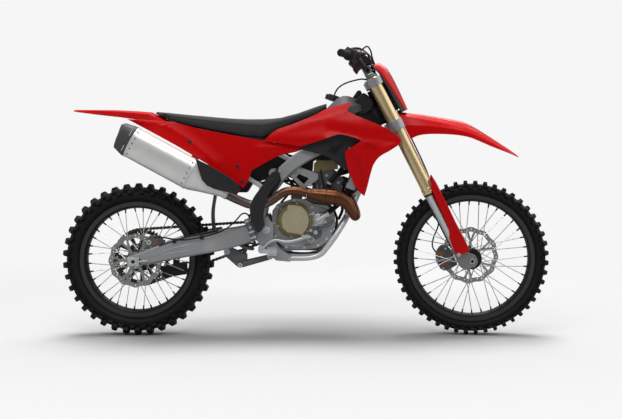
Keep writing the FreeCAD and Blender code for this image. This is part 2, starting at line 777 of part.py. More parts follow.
@functools.cache
def subframe():
    """Rear frame of square tube: two top rails and two struts to the spars."""
    rail = beam([
        (684, 78, 786, 16, 22), (500, 62, 858, 16, 22), (300, 54, 900, 16, 22), (150, 50, 926, 16, 20),
        (40, 46, 946, 16, 20),
    ])
    strut = beam([(576, 79, 656, 14, 20), (420, 72, 760, 14, 20), (250, 56, 890, 14, 20)])
    side = joined([rail, strut])
    tail = cross_rod(56, 943, 8, -46, 46)
    middle = cross_rod(300, 900, 8, -54, 54)
    return joined([side, mirrored(side), tail, middle]).cut(main_frame())


# Engine

@functools.cache
def engine_cases():
    """Crankcase and gearbox in one block, its output shaft and sprocket on the left."""
    case_outline = [
        (618, 512), (612, 436), (640, 398), (700, 384), (806, 384), (862, 426), (886, 500), (880, 560),
        (850, 604), (760, 612), (700, 596), (640, 566),
    ]
    case = slab(polygon(case_outline), -66, 56)
    upper_outline = [(640, 480), (700, 420), (812, 420), (856, 480), (860, 560), (760, 596), (660, 560)]
    upper = slab(polygon(upper_outline), -74, 60)
    starter = cross_rod(712, 620, 25, -46, 38)
    drain = cross_rod(742, 400, 15, -76, 58)
    shaft = cross_rod(OUTPUT_X, OUTPUT_Z, 14, 50, CHAIN_Y + 8)
    wheel = sprocket(FRONT_TEETH, CHAIN_Y, 13.0)
    wheel.translate(at(OUTPUT_X, 0, OUTPUT_Z))
    return joined([case, upper, starter, drain, shaft, wheel])


@functools.cache
def cylinder():
    """Barrel and head, leaning a little forward, with the ports front and rear."""
    barrel_outline = [(776, 604), (786, 700), (906, 700), (900, 596), (850, 604.2), (780, 611)]
    barrel = slab(polygon(barrel_outline), -54, 54)
    studs = [cross_rod(x, z, 6, -57, 57) for x, z in ((794, 628), (890, 622), (796, 690), (898, 684))]
    head_outline = [(784, 696), (786, 730), (880, 742), (922, 700), (912, 640), (880, 640)]
    head = slab(polygon(head_outline), -58, 58)
    throttle_body = rod(at(790, 0, 690), at(700, 0, 730), 26)
    flange = rod(at(782, 0, 693.5), at(768, 0, 699.7), 31)
    port = rod(at(884, -8, 690), at(916, -14, 661), 25)
    return joined([barrel, head, throttle_body, flange, port] + studs).cut(engine_cases())


def round_cover(x, z, y, radius, depth, out):
    """Stepped round cover standing off a case wall at y, outwards along out."""
    steps = ((radius, 0.55 * depth), (radius - 6, 0.8 * depth), (0.62 * radius, depth))
    pieces = [cross_rod(x, z, r, y, y + out * reach) for r, reach in steps]
    return joined(pieces)


@functools.cache
def clutch_plateau():
    """Raised face of the clutch cover: round, with a step cut in at its upper left."""
    corners = []
    for turn in range(-60, 121, 20):
        corners.append((706 + 58 * math.cos(math.radians(turn)), 523 + 60 * math.sin(math.radians(turn))))
    corners = corners + [(676, 560), (664, 552), (650, 530), (652, 498), (668, 474), (700, 462)]
    return slab(polygon(corners), -114, -100)


@functools.cache
def engine_covers():
    """Bronze covers: clutch, pump and filter on the right, flywheel on the left, cam cover on top."""
    clutch = joined([
        cross_rod(703, 520, 77, -74, -92), cross_rod(703, 520, 72, -92, -103), clutch_plateau(),
    ])
    pump = joined([
        round_cover(815, 521, -74, 30, 24, -1), rod(at(812, -90, 518), at(838, -92, 541.5), 10),
    ])
    filter_cover = round_cover(800, 465, -74, 27, 26, -1)
    level_glass = cross_rod(776, 432, 14, -74, -84)
    seam = slab(polygon([(624, 470), (644, 420), (690, 402), (700, 430), (660, 450)]), -80, -64)
    right = joined([clutch, pump, filter_cover, level_glass, seam])
    flywheel = joined([round_cover(806, 482, 60, 66, 34, 1), slab(polygon([
        (806, 548), (744, 560), (716, 528), (728, 470), (760, 430), (806, 416)]), 58, 72)])
    cam_outline = [(788, 730.6), (790, 770), (806, 784), (878, 782), (896, 764), (898, 744), (881, 742.4)]
    cam = slab(polygon(cam_outline), -56, 56)
    ribs = [slab(polygon([(800, 782), (800, 788), (872, 788), (884, 776)]), y - 3, y + 3) for y in (-30, 30)]
    cam = joined([cam] + ribs).cut(cylinder())
    return Part.makeCompound([right.cut(engine_cases()), flywheel.cut(engine_cases()), cam])


def coolant_hoses():
    """Hoses from the water pump and the head to the radiators."""
    pump = bent_tube([at(836, -92, 540), at(872, -84, 566), at(918, -66, 606), at(944, -64, 660)], 11)
    top = bent_tube([at(904, 10, 724), at(950, 24, 736), at(966, 58, 780)], 12)
    joined_to = [engine_covers(), radiators(), cylinder(), exhaust_header()]
    return Part.makeCompound([pump, top]).cut(joined_to)


RADIATOR_TILT = 20.0
RADIATOR_X = 984.0
RADIATOR_Z = 758.0


@functools.cache
def radiators():
    """Finned core between an upper and a lower tank, one each side of the down tube."""
    core = block(-16, 16, 48, 146, -84, 84)
    top_tank = block(-20, 20, 46, 148, 84, 105)
    low_tank = block(-20, 20, 46, 148, -105, -84)
    unit = joined([core, top_tank, low_tank])
    unit.rotate(at(0, 0, 0), at(0, 1, 0), RADIATOR_TILT)
    unit.translate(at(RADIATOR_X, 0, RADIATOR_Z))
    return both_sides(unit)


def radiator_louvres():
    """Slatted guards ahead of the cores."""
    rails = [block(20 + CLEAR, 34, y, y + 6, -102, 102) for y in (48, 138)]
    slats = [block(22, 34, 48, 144, z, z + 4) for z in range(-100, 101, 24)]
    grille = joined(rails + slats)
    grille.rotate(at(0, 0, 0), at(0, 1, 0), RADIATOR_TILT)
    grille.translate(at(RADIATOR_X, 0, RADIATOR_Z))
    return both_sides(grille)


# Exhaust

@functools.cache
def exhaust_header():
    """Header that loops ahead of the cylinder, swells at the resonator and runs back to the can."""
    front = [
        at(908, -12, 668), at(938, -30, 640), at(968, -84, 566), at(946, -128, 546), at(928, -135, 600),
    ]
    bend = bent_tube(front, 20)
    sizes = (
        (928, -135, 600, 20.0), (900, -137, 618, 31.0), (840, -137, 626, 36.0), (790, -136, 636, 31.0),
        (758, -134, 640, 21.0),
    )
    rings = []
    for i, (x, y, z, radius) in enumerate(sizes):
        ahead = at(*sizes[min(i + 1, 4)][:3]) - at(*sizes[max(i - 1, 0)][:3])
        place = FreeCAD.Placement(at(x, y, z), FreeCAD.Rotation(at(1, 0, 0), ahead))
        rings.append(many_sided(radius, radius, place))
    chamber = Part.makeLoft(rings, True, False)
    back = [
        at(758, -134, 640), at(664, -132, 650), at(596, -132, 604), at(528, -132, 588), at(420, -146, 630),
    ]
    return joined([bend, chamber, bent_tube(back, 19)]).cut(cylinder())


CAN_ANGLE = 28.4


def oval(along, wide, high):
    """Rounded six-sided ring of the can, across its own axis."""
    place = FreeCAD.Placement(at(along, 0, 0), FreeCAD.Rotation())
    return many_sided(wide / 2, high / 2, place, 16, 0.82)


def lean_can(shape):
    shape.rotate(at(0, 0, 0), at(0, 1, 0), CAN_ANGLE)
    shape.translate(at(-4, -151, 865))
    return shape


CAN_LONG = 300.0
CAN_WIDE = 96.0
CAN_HIGH = 138.0


@functools.cache
def muffler():
    """Oval can and the cone that gathers it to the pipe."""
    can = Part.makeLoft([oval(0, CAN_WIDE, CAN_HIGH), oval(CAN_LONG, CAN_WIDE, CAN_HIGH)], True, True)
    mouth = many_sided(22, 22, FreeCAD.Placement(at(CAN_LONG + 178, 0, -2), FreeCAD.Rotation()), 16)
    cone = Part.makeLoft([oval(CAN_LONG, CAN_WIDE - 4, CAN_HIGH - 4), mouth], True, True)
    body = lean_can(joined([can, cone]))
    stay = slab(polygon([(226, 760), (262, 748), (314, 844), (292, 858)]), -112, -104)
    foot = block(292, 314, -112, -56, 842, 858)
    return joined([body, stay, foot]).cut([exhaust_header(), subframe()])


def muffler_cap():
    """Cap that closes the can, slanted at the back, with the outlet pipe."""
    rings = [oval(-CLEAR, CAN_WIDE + 2, CAN_HIGH + 2), oval(-92, CAN_WIDE - 26, CAN_HIGH - 46)]
    full = Part.makeLoft(rings, True, True)
    slant = slab(polygon([(-140, 90), (-74, 90), (-44, -90), (-140, -90)]), -80, 80)
    outlet = rod(at(-90, 0, 0), at(-40, 0, 0), 19)
    return lean_can(joined([full.cut(slant), outlet]).cut(rod(at(-120, 0, 0), at(-50, 0, 0), 16)))


def exhaust_shield():
    """Guard over the cone, between the can and the side panel."""
    edge = [(284, 792), (346, 763), (424, 717), (462, 688), (478, 660), (462, 637)]
    low = [(462, 637), (400, 655), (338, 668), (309, 693), (303, 721), (284, 792)]
    plate = slab(outline([edge, low]), -206, -202.5)
    stay = block(378, 402, -203, -158, 660, 684)
    return joined([plate, stay]).cut(muffler())


# Bodywork

def fuel_tank():
    """Tank over the spars and under the nose of the seat, humped at the filler."""
    stations = (
        (620, ((30, 826), (44, 836), (44, 850), (30, 882))),
        (700, ((58, 822), (84, 838), (84, 900), (50, 940))),
        (780, ((72, 854), (94, 874), (96, 924), (60, 974))),
        (850, ((66, 898), (98, 914), (100, 964), (58, 1018))),
        (900, ((60, 924), (98, 944), (98, 1006), (54, 1062))),
        (950, ((40, 960), (88, 978), (86, 1024), (48, 1068))),
        (1004, ((30, 1000), (58, 1004), (56, 1030), (36, 1050))),
    )
    wires = [upright_section(x, side) for x, side in stations]
    tank = Part.makeLoft(wires, True, False)
    seat_room = seat().copy()
    seat_room.translate(at(0, 0, -CLEAR))
    frame_room = main_frame().copy()
    frame_room.translate(at(0, 0, 2 * CLEAR))
    return tank.cut([seat_room, frame_room])


def filler_cap():
    cap = rod(at(872, 0, 1050), at(880, 0, 1074), 33)
    return cap.cut(fuel_tank())


VENT = (
    (880, 0, 1074), (886, 0, 1092), (899, 3, 1111), (922, 7, 1127), (950, 9, 1138), (982, 7, 1146),
    (1008, 3, 1151), (1031.2, 0, 1144.7),
)


def vent_hose():
    """Breather hose from the filler cap up to the steering stem."""
    points = [at(*p) for p in VENT]
    for before, corner, after in zip(points, points[1:], points[2:]):
        print("vent hose arc radius", round(arc_radius(before, corner, after, 0.45)[1], 1))
    return bent_tube(points, 3.5)


def shroud_edge():
    return [
        [(590, 874), (619, 913), (689, 940), (732, 956)],
        [(732, 956), (798, 984), (851, 1011), (956, 1040)],
        [(956, 1040), (936, 1000)],
        [(936, 1000), (978, 978), (1040, 952), (1097, 927), (1137, 901)],
        [(1137, 901), (1166, 872), (1156, 850)],
        [(1156, 850), (1119, 826), (1075, 800), (1049, 765), (1035, 721)],
        [(1035, 721), (1022, 668), (1010, 629)],
        [(1010, 629), (978, 659), (952, 712), (934, 765), (926, 822)],
        [(926, 822), (996, 868)],
        [(996, 868), (978, 879), (921, 896), (895, 898)],
        [(895, 898), (820, 872), (758, 853), (590, 874)],
    ]


def shrouds():
    """Radiator shrouds: one curved panel a side, from the seat out past the radiator."""
    rows = []
    for z, tuck in ((600, 18), (760, 6), (880, 0), (960, 22), (1060, 66)):
        row = []
        for x, y in ((560, 126), (720, 146), (860, 164), (960, 176), (1060, 190), (1190, 204)):
            row.append((x, y - tuck * (1 - 0.35 * (x - 560) / 630), z))
        rows.append(row)
    panel = skin(rows, -SHEET)
    prism = slab(outline(shroud_edge()), 40, 260)
    radiator_boss = cross_rod(1000, 800, 9, 148 + CLEAR, 178)
    tank_boss = cross_rod(866, 950, 9, 100 + CLEAR, 147)
    return both_sides(joined([panel.common(prism), radiator_boss, tank_boss]))


@functools.cache
def seat():
    """Long firm seat that climbs the tank, widest under the rider."""
    stations = (
        (88, 990, 1000, 112, 92), (130, 972, 997, 150, 112), (180, 953, 992, 168, 130),
        (300, 926, 981, 196, 150), (430, 902, 970, 206, 160), (560, 882, 968, 196, 150),
        (640, 922, 974, 164, 128), (720, 956, 995, 136, 112), (800, 984, 1024, 112, 92),
        (846, 1018, 1038, 92, 72),
    )
    wires = []
    for x, low, high, wide, top in stations:
        half_w = wide / 2
        half_t = top / 2
        shoulder = low + 0.6 * (high - low)
        points = [
            at(x, -half_w, low), at(x, -half_w, shoulder), at(x, -half_t, high - 3), at(x, 0, high),
            at(x, half_t, high - 3), at(x, half_w, shoulder), at(x, half_w, low),
        ]
        wires.append(Part.makePolygon(points + points[:1]))
    return Part.makeLoft(wires, True, False)


def side_panel_edge():
    return [
        [(-35, 966), (61, 916), (182, 851), (286, 790), (373, 738), (450, 686)],
        [(450, 686), (481, 662)],
        [(481, 662), (502, 693), (520, 741)],
        [(520, 741), (633, 802), (710, 823), (746, 843)],
        [(746, 843), (572, 869)],
        [(572, 869), (446, 892), (286, 923), (173, 953)],
        [(173, 953), (-35, 966)],
    ]


def side_panels():
    """Side number panels, blank, that follow the subframe below the seat."""
    rows = []
    for z, out in ((640, 10), (740, 8), (850, 0), (960, -10)):
        row = []
        for x, y in ((-50, 96), (120, 110), (300, 116), (460, 116), (620, 114), (760, 118)):
            row.append((x, y + out, z))
        rows.append(row)
    panel = skin(rows, -SHEET)
    prism = slab(outline(side_panel_edge()), 40, 260)
    rail_boss = cross_rod(300, 897, 8, 62 + CLEAR, 111)
    strut_boss = cross_rod(420, 760, 8, 79 + CLEAR, 121)
    return both_sides(joined([panel.common(prism), rail_boss, strut_boss]))


def airbox():
    """Filter housing between the subframe rails, ending in the duct to the throttle body."""
    box_outline = [
        (350, 700), (372, 850), (540, 834), (594, 796), (640, 786), (696, 762), (690, 752), (630, 764),
        (560, 770), (528, 700), (490, 640), (400, 640),
    ]
    box = slab(polygon(box_outline), -44, 44)
    ears = block(440, 466, -60, 60, 826, 870)
    return joined([box, ears]).cut(subframe())


def rear_fender():
    """Rear fender: a long blade, flat on top and turned down at its sides, seated on the subframe."""
    rings = []
    stations = (
        (-284, 1010, 34, 1003), (-206, 1010, 60, 992), (-100, 1009, 80, 980), (0, 1004, 90, 966),
        (60, 999, 92, 960), (100, 980, 90, 948), (150, 957, 86, 934), (190, 940, 84, 922),
    )
    for x, crown, half, low in stations:
        side = [(-half, low), (5 - half, low + 0.7 * (crown - low)), (-0.62 * half, crown - 2), (0, crown)]
        rings.append(arch_ring(x, side, SHEET))
    blade = Part.makeLoft(rings, True, True)
    feet = [block(48, 64, side * 20 - 6, side * 20 + 6, 943 + 8 + CLEAR, 998) for side in (-1, 1)]
    return joined([blade] + feet)


def mud_flap():
    """Rubber flap that hangs from the airbox ahead of the tyre."""
    front = REAR_TYRE_R + GAP
    drop = ((front + 4.3, 712), (front + 3.1, 640), (front - 8.3, 560), (front - 3.3, 470))
    rows = [[(x, y, z) for x, z in drop] for y in (-58, 0, 58)]
    return skin(rows, SHEET)


def frame_guards():
    """Black guards over the frame behind the engine, where the boots rub."""
    outer = [(634, 753), (572, 682), (536, 628), (516, 583), (513, 545), (524, 512)]
    inner = [(572, 518), (566, 547), (580, 588), (612, 641), (648, 695)]
    edge = outline([outer, [outer[-1], inner[0]], inner, [inner[-1], outer[0]]])
    inside = SPAR_Y + SPAR_HALF + CLEAR
    return both_sides(slab(edge, inside, inside + SHEET))


# Rear end

@functools.cache
def swingarm():
    """Two deep arms from the pivot, joined by a yoke ahead of the tyre, open for the axle blocks."""
    stations = [
        (PIVOT_X, ARM_FRONT_Y, PIVOT_Z, 22, 62), (YOKE_X + 72, 52, 461, 22, 72),
        (YOKE_X - 8, 53, 440, 22, 82),
        (REAR_TYRE_R + 30, 64, 426, 26, 88), (REAR_TYRE_R - 40, 90, 415, 28, 88),
        (REAR_TYRE_R - 140, 105, 396, 28, 84), (100, 107, REAR_TYRE_R + 30, 28, 70),
        (30, 107, REAR_TYRE_R + 10, 28, 56), (-26, 107, REAR_TYRE_R - 4, 28, 44),
    ]
    arm = beam(stations)
    yoke = beam([(YOKE_X, 0, 440, 106, 66), (YOKE_X - 64, 0, 428, 120, 70)], ruled=True)
    pivot_tube = cross_rod(PIVOT_X, PIVOT_Z, 22, -62, 62)
    inside = SPAR_Y - SPAR_HALF - CLEAR
    pivot_collar = cross_rod(PIVOT_X, PIVOT_Z, 17, -inside, inside)
    link_lug = slab(polygon([(384, 400), (416, 402), (412, 362), (388, 362)]), -12, 12)
    link_lug = link_lug.cut(cross_rod(LINK_EYE[0], LINK_EYE[1], 8 + CLEAR, -20, 20))
    both = joined([arm, mirrored(arm), yoke, pivot_tube, pivot_collar, link_lug])
    slot_half = REAR_AXLE_R + CLEAR
    slot = block(-22, 30, -140, 140, REAR_TYRE_R - slot_half, REAR_TYRE_R + slot_half)
    pivot_hole = cross_rod(PIVOT_X, PIVOT_Z, 10 + CLEAR, -140, 140)
    return both.cut([slot, pivot_hole])


def rear_axle():
    """Hollow axle with the adjuster blocks outside the arms."""
    outer_y = ARM_REAR_Y + 14
    shaft = cross_rod(0, REAR_TYRE_R, REAR_AXLE_R, -outer_y - 14, outer_y + 14)
    blocks = []
    for side in (-1, 1):
        y_from = min(side * (outer_y + CLEAR), side * (outer_y + 9))
        blocks.append(block(-24, 26, y_from, y_from + 9 - CLEAR, REAR_TYRE_R - 20, REAR_TYRE_R + 20))
        face_y = side * outer_y
        blocks.append(cross_rod(0, REAR_TYRE_R, REAR_AXLE_R + 5, face_y + side, face_y + side * 14))
    bore = cross_rod(0, REAR_TYRE_R, REAR_AXLE_BORE, -outer_y - 30, outer_y + 30)
    return joined([shaft] + blocks).cut(bore)


def pivot_bolt():
    reach = SPAR_Y + SPAR_HALF + 6
    return cross_rod(PIVOT_X, PIVOT_Z, 10, -reach, reach)


def tangent_loop(spread):
    """Outline of the chain loop, spread outwards from the pitch line."""
    rear = at(0, 0, REAR_TYRE_R)
    front = at(OUTPUT_X, 0, OUTPUT_Z)
    rear_r = PITCH / (2 * math.sin(math.pi / REAR_TEETH)) + spread
    front_r = PITCH / (2 * math.sin(math.pi / FRONT_TEETH)) + spread
    along = front - rear
    slope = math.atan2(along.z, along.x)
    open_angle = math.acos((rear_r - front_r) / along.Length)
    edges = []

    def rim_point(centre, radius, angle):
        return centre + at(radius * math.cos(angle), 0, radius * math.sin(angle))

    top = slope + open_angle
    bottom = slope - open_angle
    rear_top = rim_point(rear, rear_r, top)
    rear_low = rim_point(rear, rear_r, bottom)
    front_top = rim_point(front, front_r, top)
    front_low = rim_point(front, front_r, bottom)
    edges.append(Part.Arc(rear_top, rim_point(rear, rear_r, slope + math.pi), rear_low).toShape())
    edges.append(Part.makeLine(rear_low, front_low))
    edges.append(Part.Arc(front_low, rim_point(front, front_r, slope), front_top).toShape())
    edges.append(Part.makeLine(front_top, rear_top))
    return Part.Wire(edges)


def link_edge(spread, waist):
    """Outside of the chain's plates: waisted at every second pin on the straight runs."""
    points = []
    for edge in tangent_loop(spread).OrderedEdges:
        links = round(edge.Length / PITCH)
        if edge.Curve.TypeId == "Part::GeomLine":
            middle = at(OUTPUT_X / 2, 0, (REAR_TYRE_R + OUTPUT_Z) / 2)
            inwards = middle - edge.CenterOfMass
            inwards.normalize()
            run = edge.discretize(Number=links + links % 2 + 1)
            points.extend(p + inwards * waist * (i % 2) for i, p in enumerate(run[:-1]))
        else:
            points.extend(edge.discretize(Number=links + 1)[:-1])
    return Part.makePolygon(points + points[:1])


def chain():
    """Fixed loop of the chain: two rows of side plates, with the rollers between the sprockets."""
    outer = Part.Face(link_edge(LINK_HALF, 2.4))
    inside = []
    for edge in tangent_loop(-LINK_HALF).OrderedEdges:
        steps = 2 if edge.Curve.TypeId == "Part::GeomLine" else round(edge.Length / (1.5 * PITCH))
        inside.extend(edge.discretize(Number=steps)[:-1])
    inner = Part.Face(Part.makePolygon(inside + inside[:1]))
    band = outer.cut(inner)
    rows = []
    for y in (CHAIN_Y - CHAIN_INSIDE / 2 - PLATE_THICK, CHAIN_Y + CHAIN_INSIDE / 2):
        row = band.copy()
        row.translate(at(0, y, 0))
        rows.append(row.extrude(at(0, PLATE_THICK, 0)))
    rollers = []
    for edge in tangent_loop(0.0).OrderedEdges:
        if edge.Curve.TypeId != "Part::GeomLine":
            continue
        low, high = sorted((v.Point for v in edge.Vertexes), key=lambda point: point.x)
        along = (high - low) * (1 / edge.Length)
        across = at(-along.z, 0, along.x) * 5.0
        low = low + along * ROLLER_FROM
        high = high - along * 32
        corners = [at(p.x, CHAIN_Y - CHAIN_INSIDE / 2, p.z) for p in
                   (low - across, high - across, high + across, low + across)]
        rollers.append(Part.Face(Part.makePolygon(corners + corners[:1])).extrude(at(0, CHAIN_INSIDE, 0)))
    return joined(rows + rollers)


def chain_guides():
    """Lower guide on the left arm and the slider that the chain rubs on at the pivot."""
    cage = slab(polygon([(92, 296), (92, 244), (206, 262), (206, 320)]), CHAIN_Y - 16, CHAIN_Y + 16)
    tunnel = slab(polygon([(80, 268), (80, 222), (220, 276), (220, 322)]), CHAIN_Y - 11, CHAIN_Y + 11)
    stay = block(140, 170, CHAIN_Y + 11, CHAIN_Y + 20, 290, 350)
    wheel_room = cross_rod(0, REAR_TYRE_R, 137, CHAIN_Y - 10, CHAIN_Y + 10)
    return joined([cage.cut([tunnel, wheel_room]), stay]).cut(swingarm())


def shock_absorber():
    """Shock with its spring, leaning from the frame lug to the link, an eye at each end."""
    low = at(SHOCK_LOW[0], 0, SHOCK_LOW[1])
    high = at(SHOCK_TOP[0], 0, SHOCK_TOP[1])
    axis = high - low
    length = axis.Length
    profile = [(0, 10), (9, 10), (9, 34), (30, 40), (30, 50)]
    coils = 8
    for i in range(coils):
        base = 52 + i * 25
        profile = profile + [(28, base), (38, base + 12)]
    profile = profile + [
        (37, 252), (37, 262), (24, 266), (24, length - 30), (10, length - 22), (10, length - 10),
        (0, length - 10),
    ]
    corners = [at(r, 0, z) for r, z in profile]
    body = Part.Face(Part.makePolygon(corners + corners[:1])).revolve(at(0, 0, 0), at(0, 0, 1), 360)
    reservoir = rod(at(20, 0, length - 60), at(66, 0, length - 60), 19)
    body = joined([body, reservoir])
    body.Placement = FreeCAD.Placement(low, FreeCAD.Rotation(at(0, 0, 1), axis))
    eyes = [cross_rod(x, z, 14, -12, 12) for x, z in (SHOCK_LOW, SHOCK_TOP)]
    holes = [cross_rod(x, z, 8 + CLEAR, -20, 20) for x, z in (SHOCK_LOW, SHOCK_TOP)]
    return joined([body] + eyes).cut(holes)


def shock_link():
    """Rocker of two plates on its three pins, and the pull rods forward to the frame."""
    plate_outline = [(386, 388), (414, 390), (488, 360), (488, 336), (468, 302), (448, 304), (388, 356)]
    plate = slab(polygon(plate_outline), 13, 20)
    pins = [cross_rod(x, z, 8, -20, 20) for x, z in (LINK_EYE, SHOCK_LOW)]
    pull_pin = cross_rod(PULL_EYE[0], PULL_EYE[1], 8, -34, 34)
    pull = slab(polygon([(452, 326), (452, 306), (470, 304), (604, 342), (600, 355), (588, 357)]), 24, 34)
    return joined([plate, mirrored(plate), pull, mirrored(pull), pull_pin] + pins)


def rear_brake():
    """Rear caliper over the disc and the master cylinder behind the brake pedal."""
    caliper = slab(polygon([(52, 392), (44, 424), (66, 452), (112, 446), (128, 418), (96, 404)]), -90, -56)
    slot = cross_rod(0, REAR_TYRE_R, REAR_DISC_R + GAP, -REAR_DISC_Y - 4, -REAR_DISC_Y + 4)
    caliper = caliper.cut(slot)
    bracket = block(60, 104, -ARM_REAR_Y + 14 + CLEAR, -83, 372, 402)
    caliper = joined([caliper, bracket])
    master = rod(at(530, -125, 436), at(498, -129, 528), 13)
    master = joined([master, block(506, 546, -124, -SPAR_Y - SPAR_HALF - CLEAR, 462, 486)])
    return Part.makeCompound([caliper, master])


def foot_levers():
    """Brake pedal on the right, shift lever on the left."""
    pedal = bent_tube([at(562, -120, 392), at(610, -120, 440), at(676, -124, 424), at(756, -126, 446)], 7)
    pad = block(738, 776, -150, -112, 446, 456)
    boss = cross_rod(562, 392, 12, -124, -SPAR_Y - SPAR_HALF - CLEAR)
    shift = bent_tube([at(676, 92, 432), at(720, 112, 428), at(800, 122, 444)], 6)
    tip = cross_rod(804, 445, 8, 116, 146)
    shaft = cross_rod(676, 432, 8, 60, 98)
    return Part.makeCompound([joined([pedal, pad, boss]), joined([shift, tip, shaft])])


def footpegs():
    """Wide folding pegs with toothed edges, in brackets on the pivot plates."""
    y_in = SPAR_Y + SPAR_HALF
    bracket = block(586, 628, y_in, y_in + 26, 366, 404)
    peg = slab(polygon([(574, 398), (574, 386), (634, 386), (634, 398)]), y_in + 26, y_in + 112)
    window = block(582, 626, y_in + 34, y_in + 102, 380, 404)
    rib = block(600, 608, y_in + 30, y_in + 106, 386, 394)
    return both_sides(joined([bracket, peg.cut(window), rib]))


# Putting the bike together

def steered(shape):
    """From fork coordinates to the bike, with the bars turned to the rest angle."""
    placed = shape.copy()
    placed.rotate(at(-STEM_LEAD, 0, 0), at(0, 0, 1), -REST_STEER)
    lean = FreeCAD.Rotation(at(0, 1, 0), -RAKE)
    front = FreeCAD.Placement(at(WHEELBASE, 0, FRONT_TYRE_R), lean)
    placed.Placement = front.multiply(placed.Placement)
    return placed


def write_out(name, shape):
    placed = shape.copy()
    placed.translate(at(-SEAT_X, 0, -SEAT_Z))
    if not placed.isValid():
        print("not valid:", name)
    placed.exportStep("parts/" + name + ".step")


FRONT_NODES = (
    front_tyre, front_rim, front_hub, front_disc, top_clamp, bottom_clamp, fork_tubes, fork_lowers,
    fork_guards, front_axle, front_caliper, front_fender, number_plate, handlebar, bar_pad, grips,
    bar_controls, brake_hose,
)
REAR_WHEEL_NODES = (rear_tyre, rear_rim, rear_hub, rear_disc, rear_sprocket)
CHASSIS_NODES = (
    main_frame, lower_cradle, engine_mounts, subframe, engine_cases, cylinder, engine_covers, coolant_hoses,
    radiators, radiator_louvres, exhaust_header, muffler, muffler_cap, exhaust_shield, fuel_tank, filler_cap,
    vent_hose, shrouds, seat, side_panels, airbox, rear_fender, mud_flap, frame_guards, swingarm, rear_axle,
    pivot_bolt, chain, chain_guides, shock_absorber, shock_link, rear_brake, foot_levers, footpegs,
)


def build_all():
    os.makedirs("parts", exist_ok=True)
    for make in FRONT_NODES:
        write_out(make.__name__, steered(make()))
    rear_axle_place = at(0, 0, REAR_TYRE_R)
    for make in REAR_WHEEL_NODES:
        write_out(make.__name__, placed_wheel(make(), rear_axle_place))
    for make in CHASSIS_NODES:
        write_out(make.__name__, make())


build_all()
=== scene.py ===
import math
import json

import bmesh
import bpy
from mathutils import Matrix, Vector, geometry


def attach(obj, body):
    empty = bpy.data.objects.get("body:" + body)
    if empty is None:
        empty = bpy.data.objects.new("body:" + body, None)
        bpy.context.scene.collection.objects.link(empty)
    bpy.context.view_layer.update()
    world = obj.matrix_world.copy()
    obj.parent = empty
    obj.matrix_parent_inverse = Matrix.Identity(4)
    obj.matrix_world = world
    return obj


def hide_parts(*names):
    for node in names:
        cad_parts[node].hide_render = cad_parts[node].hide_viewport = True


# The motocross bike as it is put together. Shapes are drawn in millimetres in one of three
# places: BIKE, about the ground under the rear axle; REAR, about the rear axle; and FORK, about
# the front axle with z up along the fork legs, which is also the place of the front wheel.

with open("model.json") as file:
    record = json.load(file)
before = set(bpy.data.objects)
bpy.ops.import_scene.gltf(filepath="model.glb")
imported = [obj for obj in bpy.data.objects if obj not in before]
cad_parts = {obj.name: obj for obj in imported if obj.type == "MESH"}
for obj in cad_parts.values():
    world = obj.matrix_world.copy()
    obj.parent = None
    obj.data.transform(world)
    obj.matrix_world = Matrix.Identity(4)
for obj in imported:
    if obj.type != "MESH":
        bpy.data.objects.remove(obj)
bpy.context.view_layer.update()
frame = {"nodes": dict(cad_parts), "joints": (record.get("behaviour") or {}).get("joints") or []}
joints = {joint["name"]: joint for joint in frame["joints"]}
MM = 0.001
REAR_R = 340.0

rear_axle_at = Vector(joints["rear_wheel_spin"]["pos_m"])
front_axle_at = Vector(joints["front_wheel_spin"]["pos_m"])
axle_line = Vector(joints["front_wheel_spin"]["axis"]).normalized()
stem_line = Vector(joints["steering_turn"]["axis"]).normalized()
REAR = Matrix.Translation(rear_axle_at) @ Matrix.Scale(MM, 4)
BIKE = REAR @ Matrix.Translation((0, 0, -REAR_R))
turned = Matrix((axle_line.cross(stem_line), axle_line, stem_line)).transposed().to_4x4()
FORK = Matrix.Translation(front_axle_at) @ turned @ Matrix.Scale(MM, 4)

# The camera stands level on the bike's right, as in the photo: 622 x 419 pixels, each 4.507 mm
# wide at the bike's middle plane, with the point straight ahead of the lens at pixel (330, 152)
# and the rear axle at pixel (138.9, 258.6).

PHOTO_WIDE = 622
PHOTO_HIGH = 419
PIXEL = 4.507 * MM
CAMERA_AWAY = 4.3
AHEAD_PX = (330.0, 152.0)
REAR_AXLE_PX = (138.9, 258.6)
SENSOR_WIDE = 36.0

camera_data = bpy.data.cameras.new("camera")
camera_data.sensor_width = SENSOR_WIDE
camera_data.lens = SENSOR_WIDE * CAMERA_AWAY / (PHOTO_WIDE * PIXEL)
camera_data.shift_x = (PHOTO_WIDE / 2 - AHEAD_PX[0]) / PHOTO_WIDE
camera_data.shift_y = (AHEAD_PX[1] - PHOTO_HIGH / 2) / PHOTO_WIDE
camera = bpy.data.objects.new("camera", camera_data)
bpy.context.scene.collection.objects.link(camera)
camera.location = rear_axle_at + Vector((
    (AHEAD_PX[0] - REAR_AXLE_PX[0]) * PIXEL, -CAMERA_AWAY, (REAR_AXLE_PX[1] - AHEAD_PX[1]) * PIXEL))
camera.rotation_euler = (math.pi / 2, 0, 0)
bpy.context.scene.camera = camera

# The studio: one broad soft light overhead, a softbox high on the camera's side and a weaker
# one behind, over a pale floor that fades into the backdrop and keeps the bike's shadow. The
# floor also carries a painted shadow: its paint is darker in a soft patch under the bike. The
# room is lit by a panel above and, for what glossy skins mirror only, a bright wall at each end.

BACKDROP = "f6f6f6"
FADE_FROM = 1.9
FADE_TO = 3.6


def linear(code):
    """An sRGB hex colour as the linear colour that a shader takes."""
    parts = [int(code[i:i + 2], 16) / 255 for i in (0, 2, 4)]
    return tuple(c / 12.92 if c <= 0.04045 else ((c + 0.055) / 1.055) ** 2.4 for c in parts) + (1.0,)


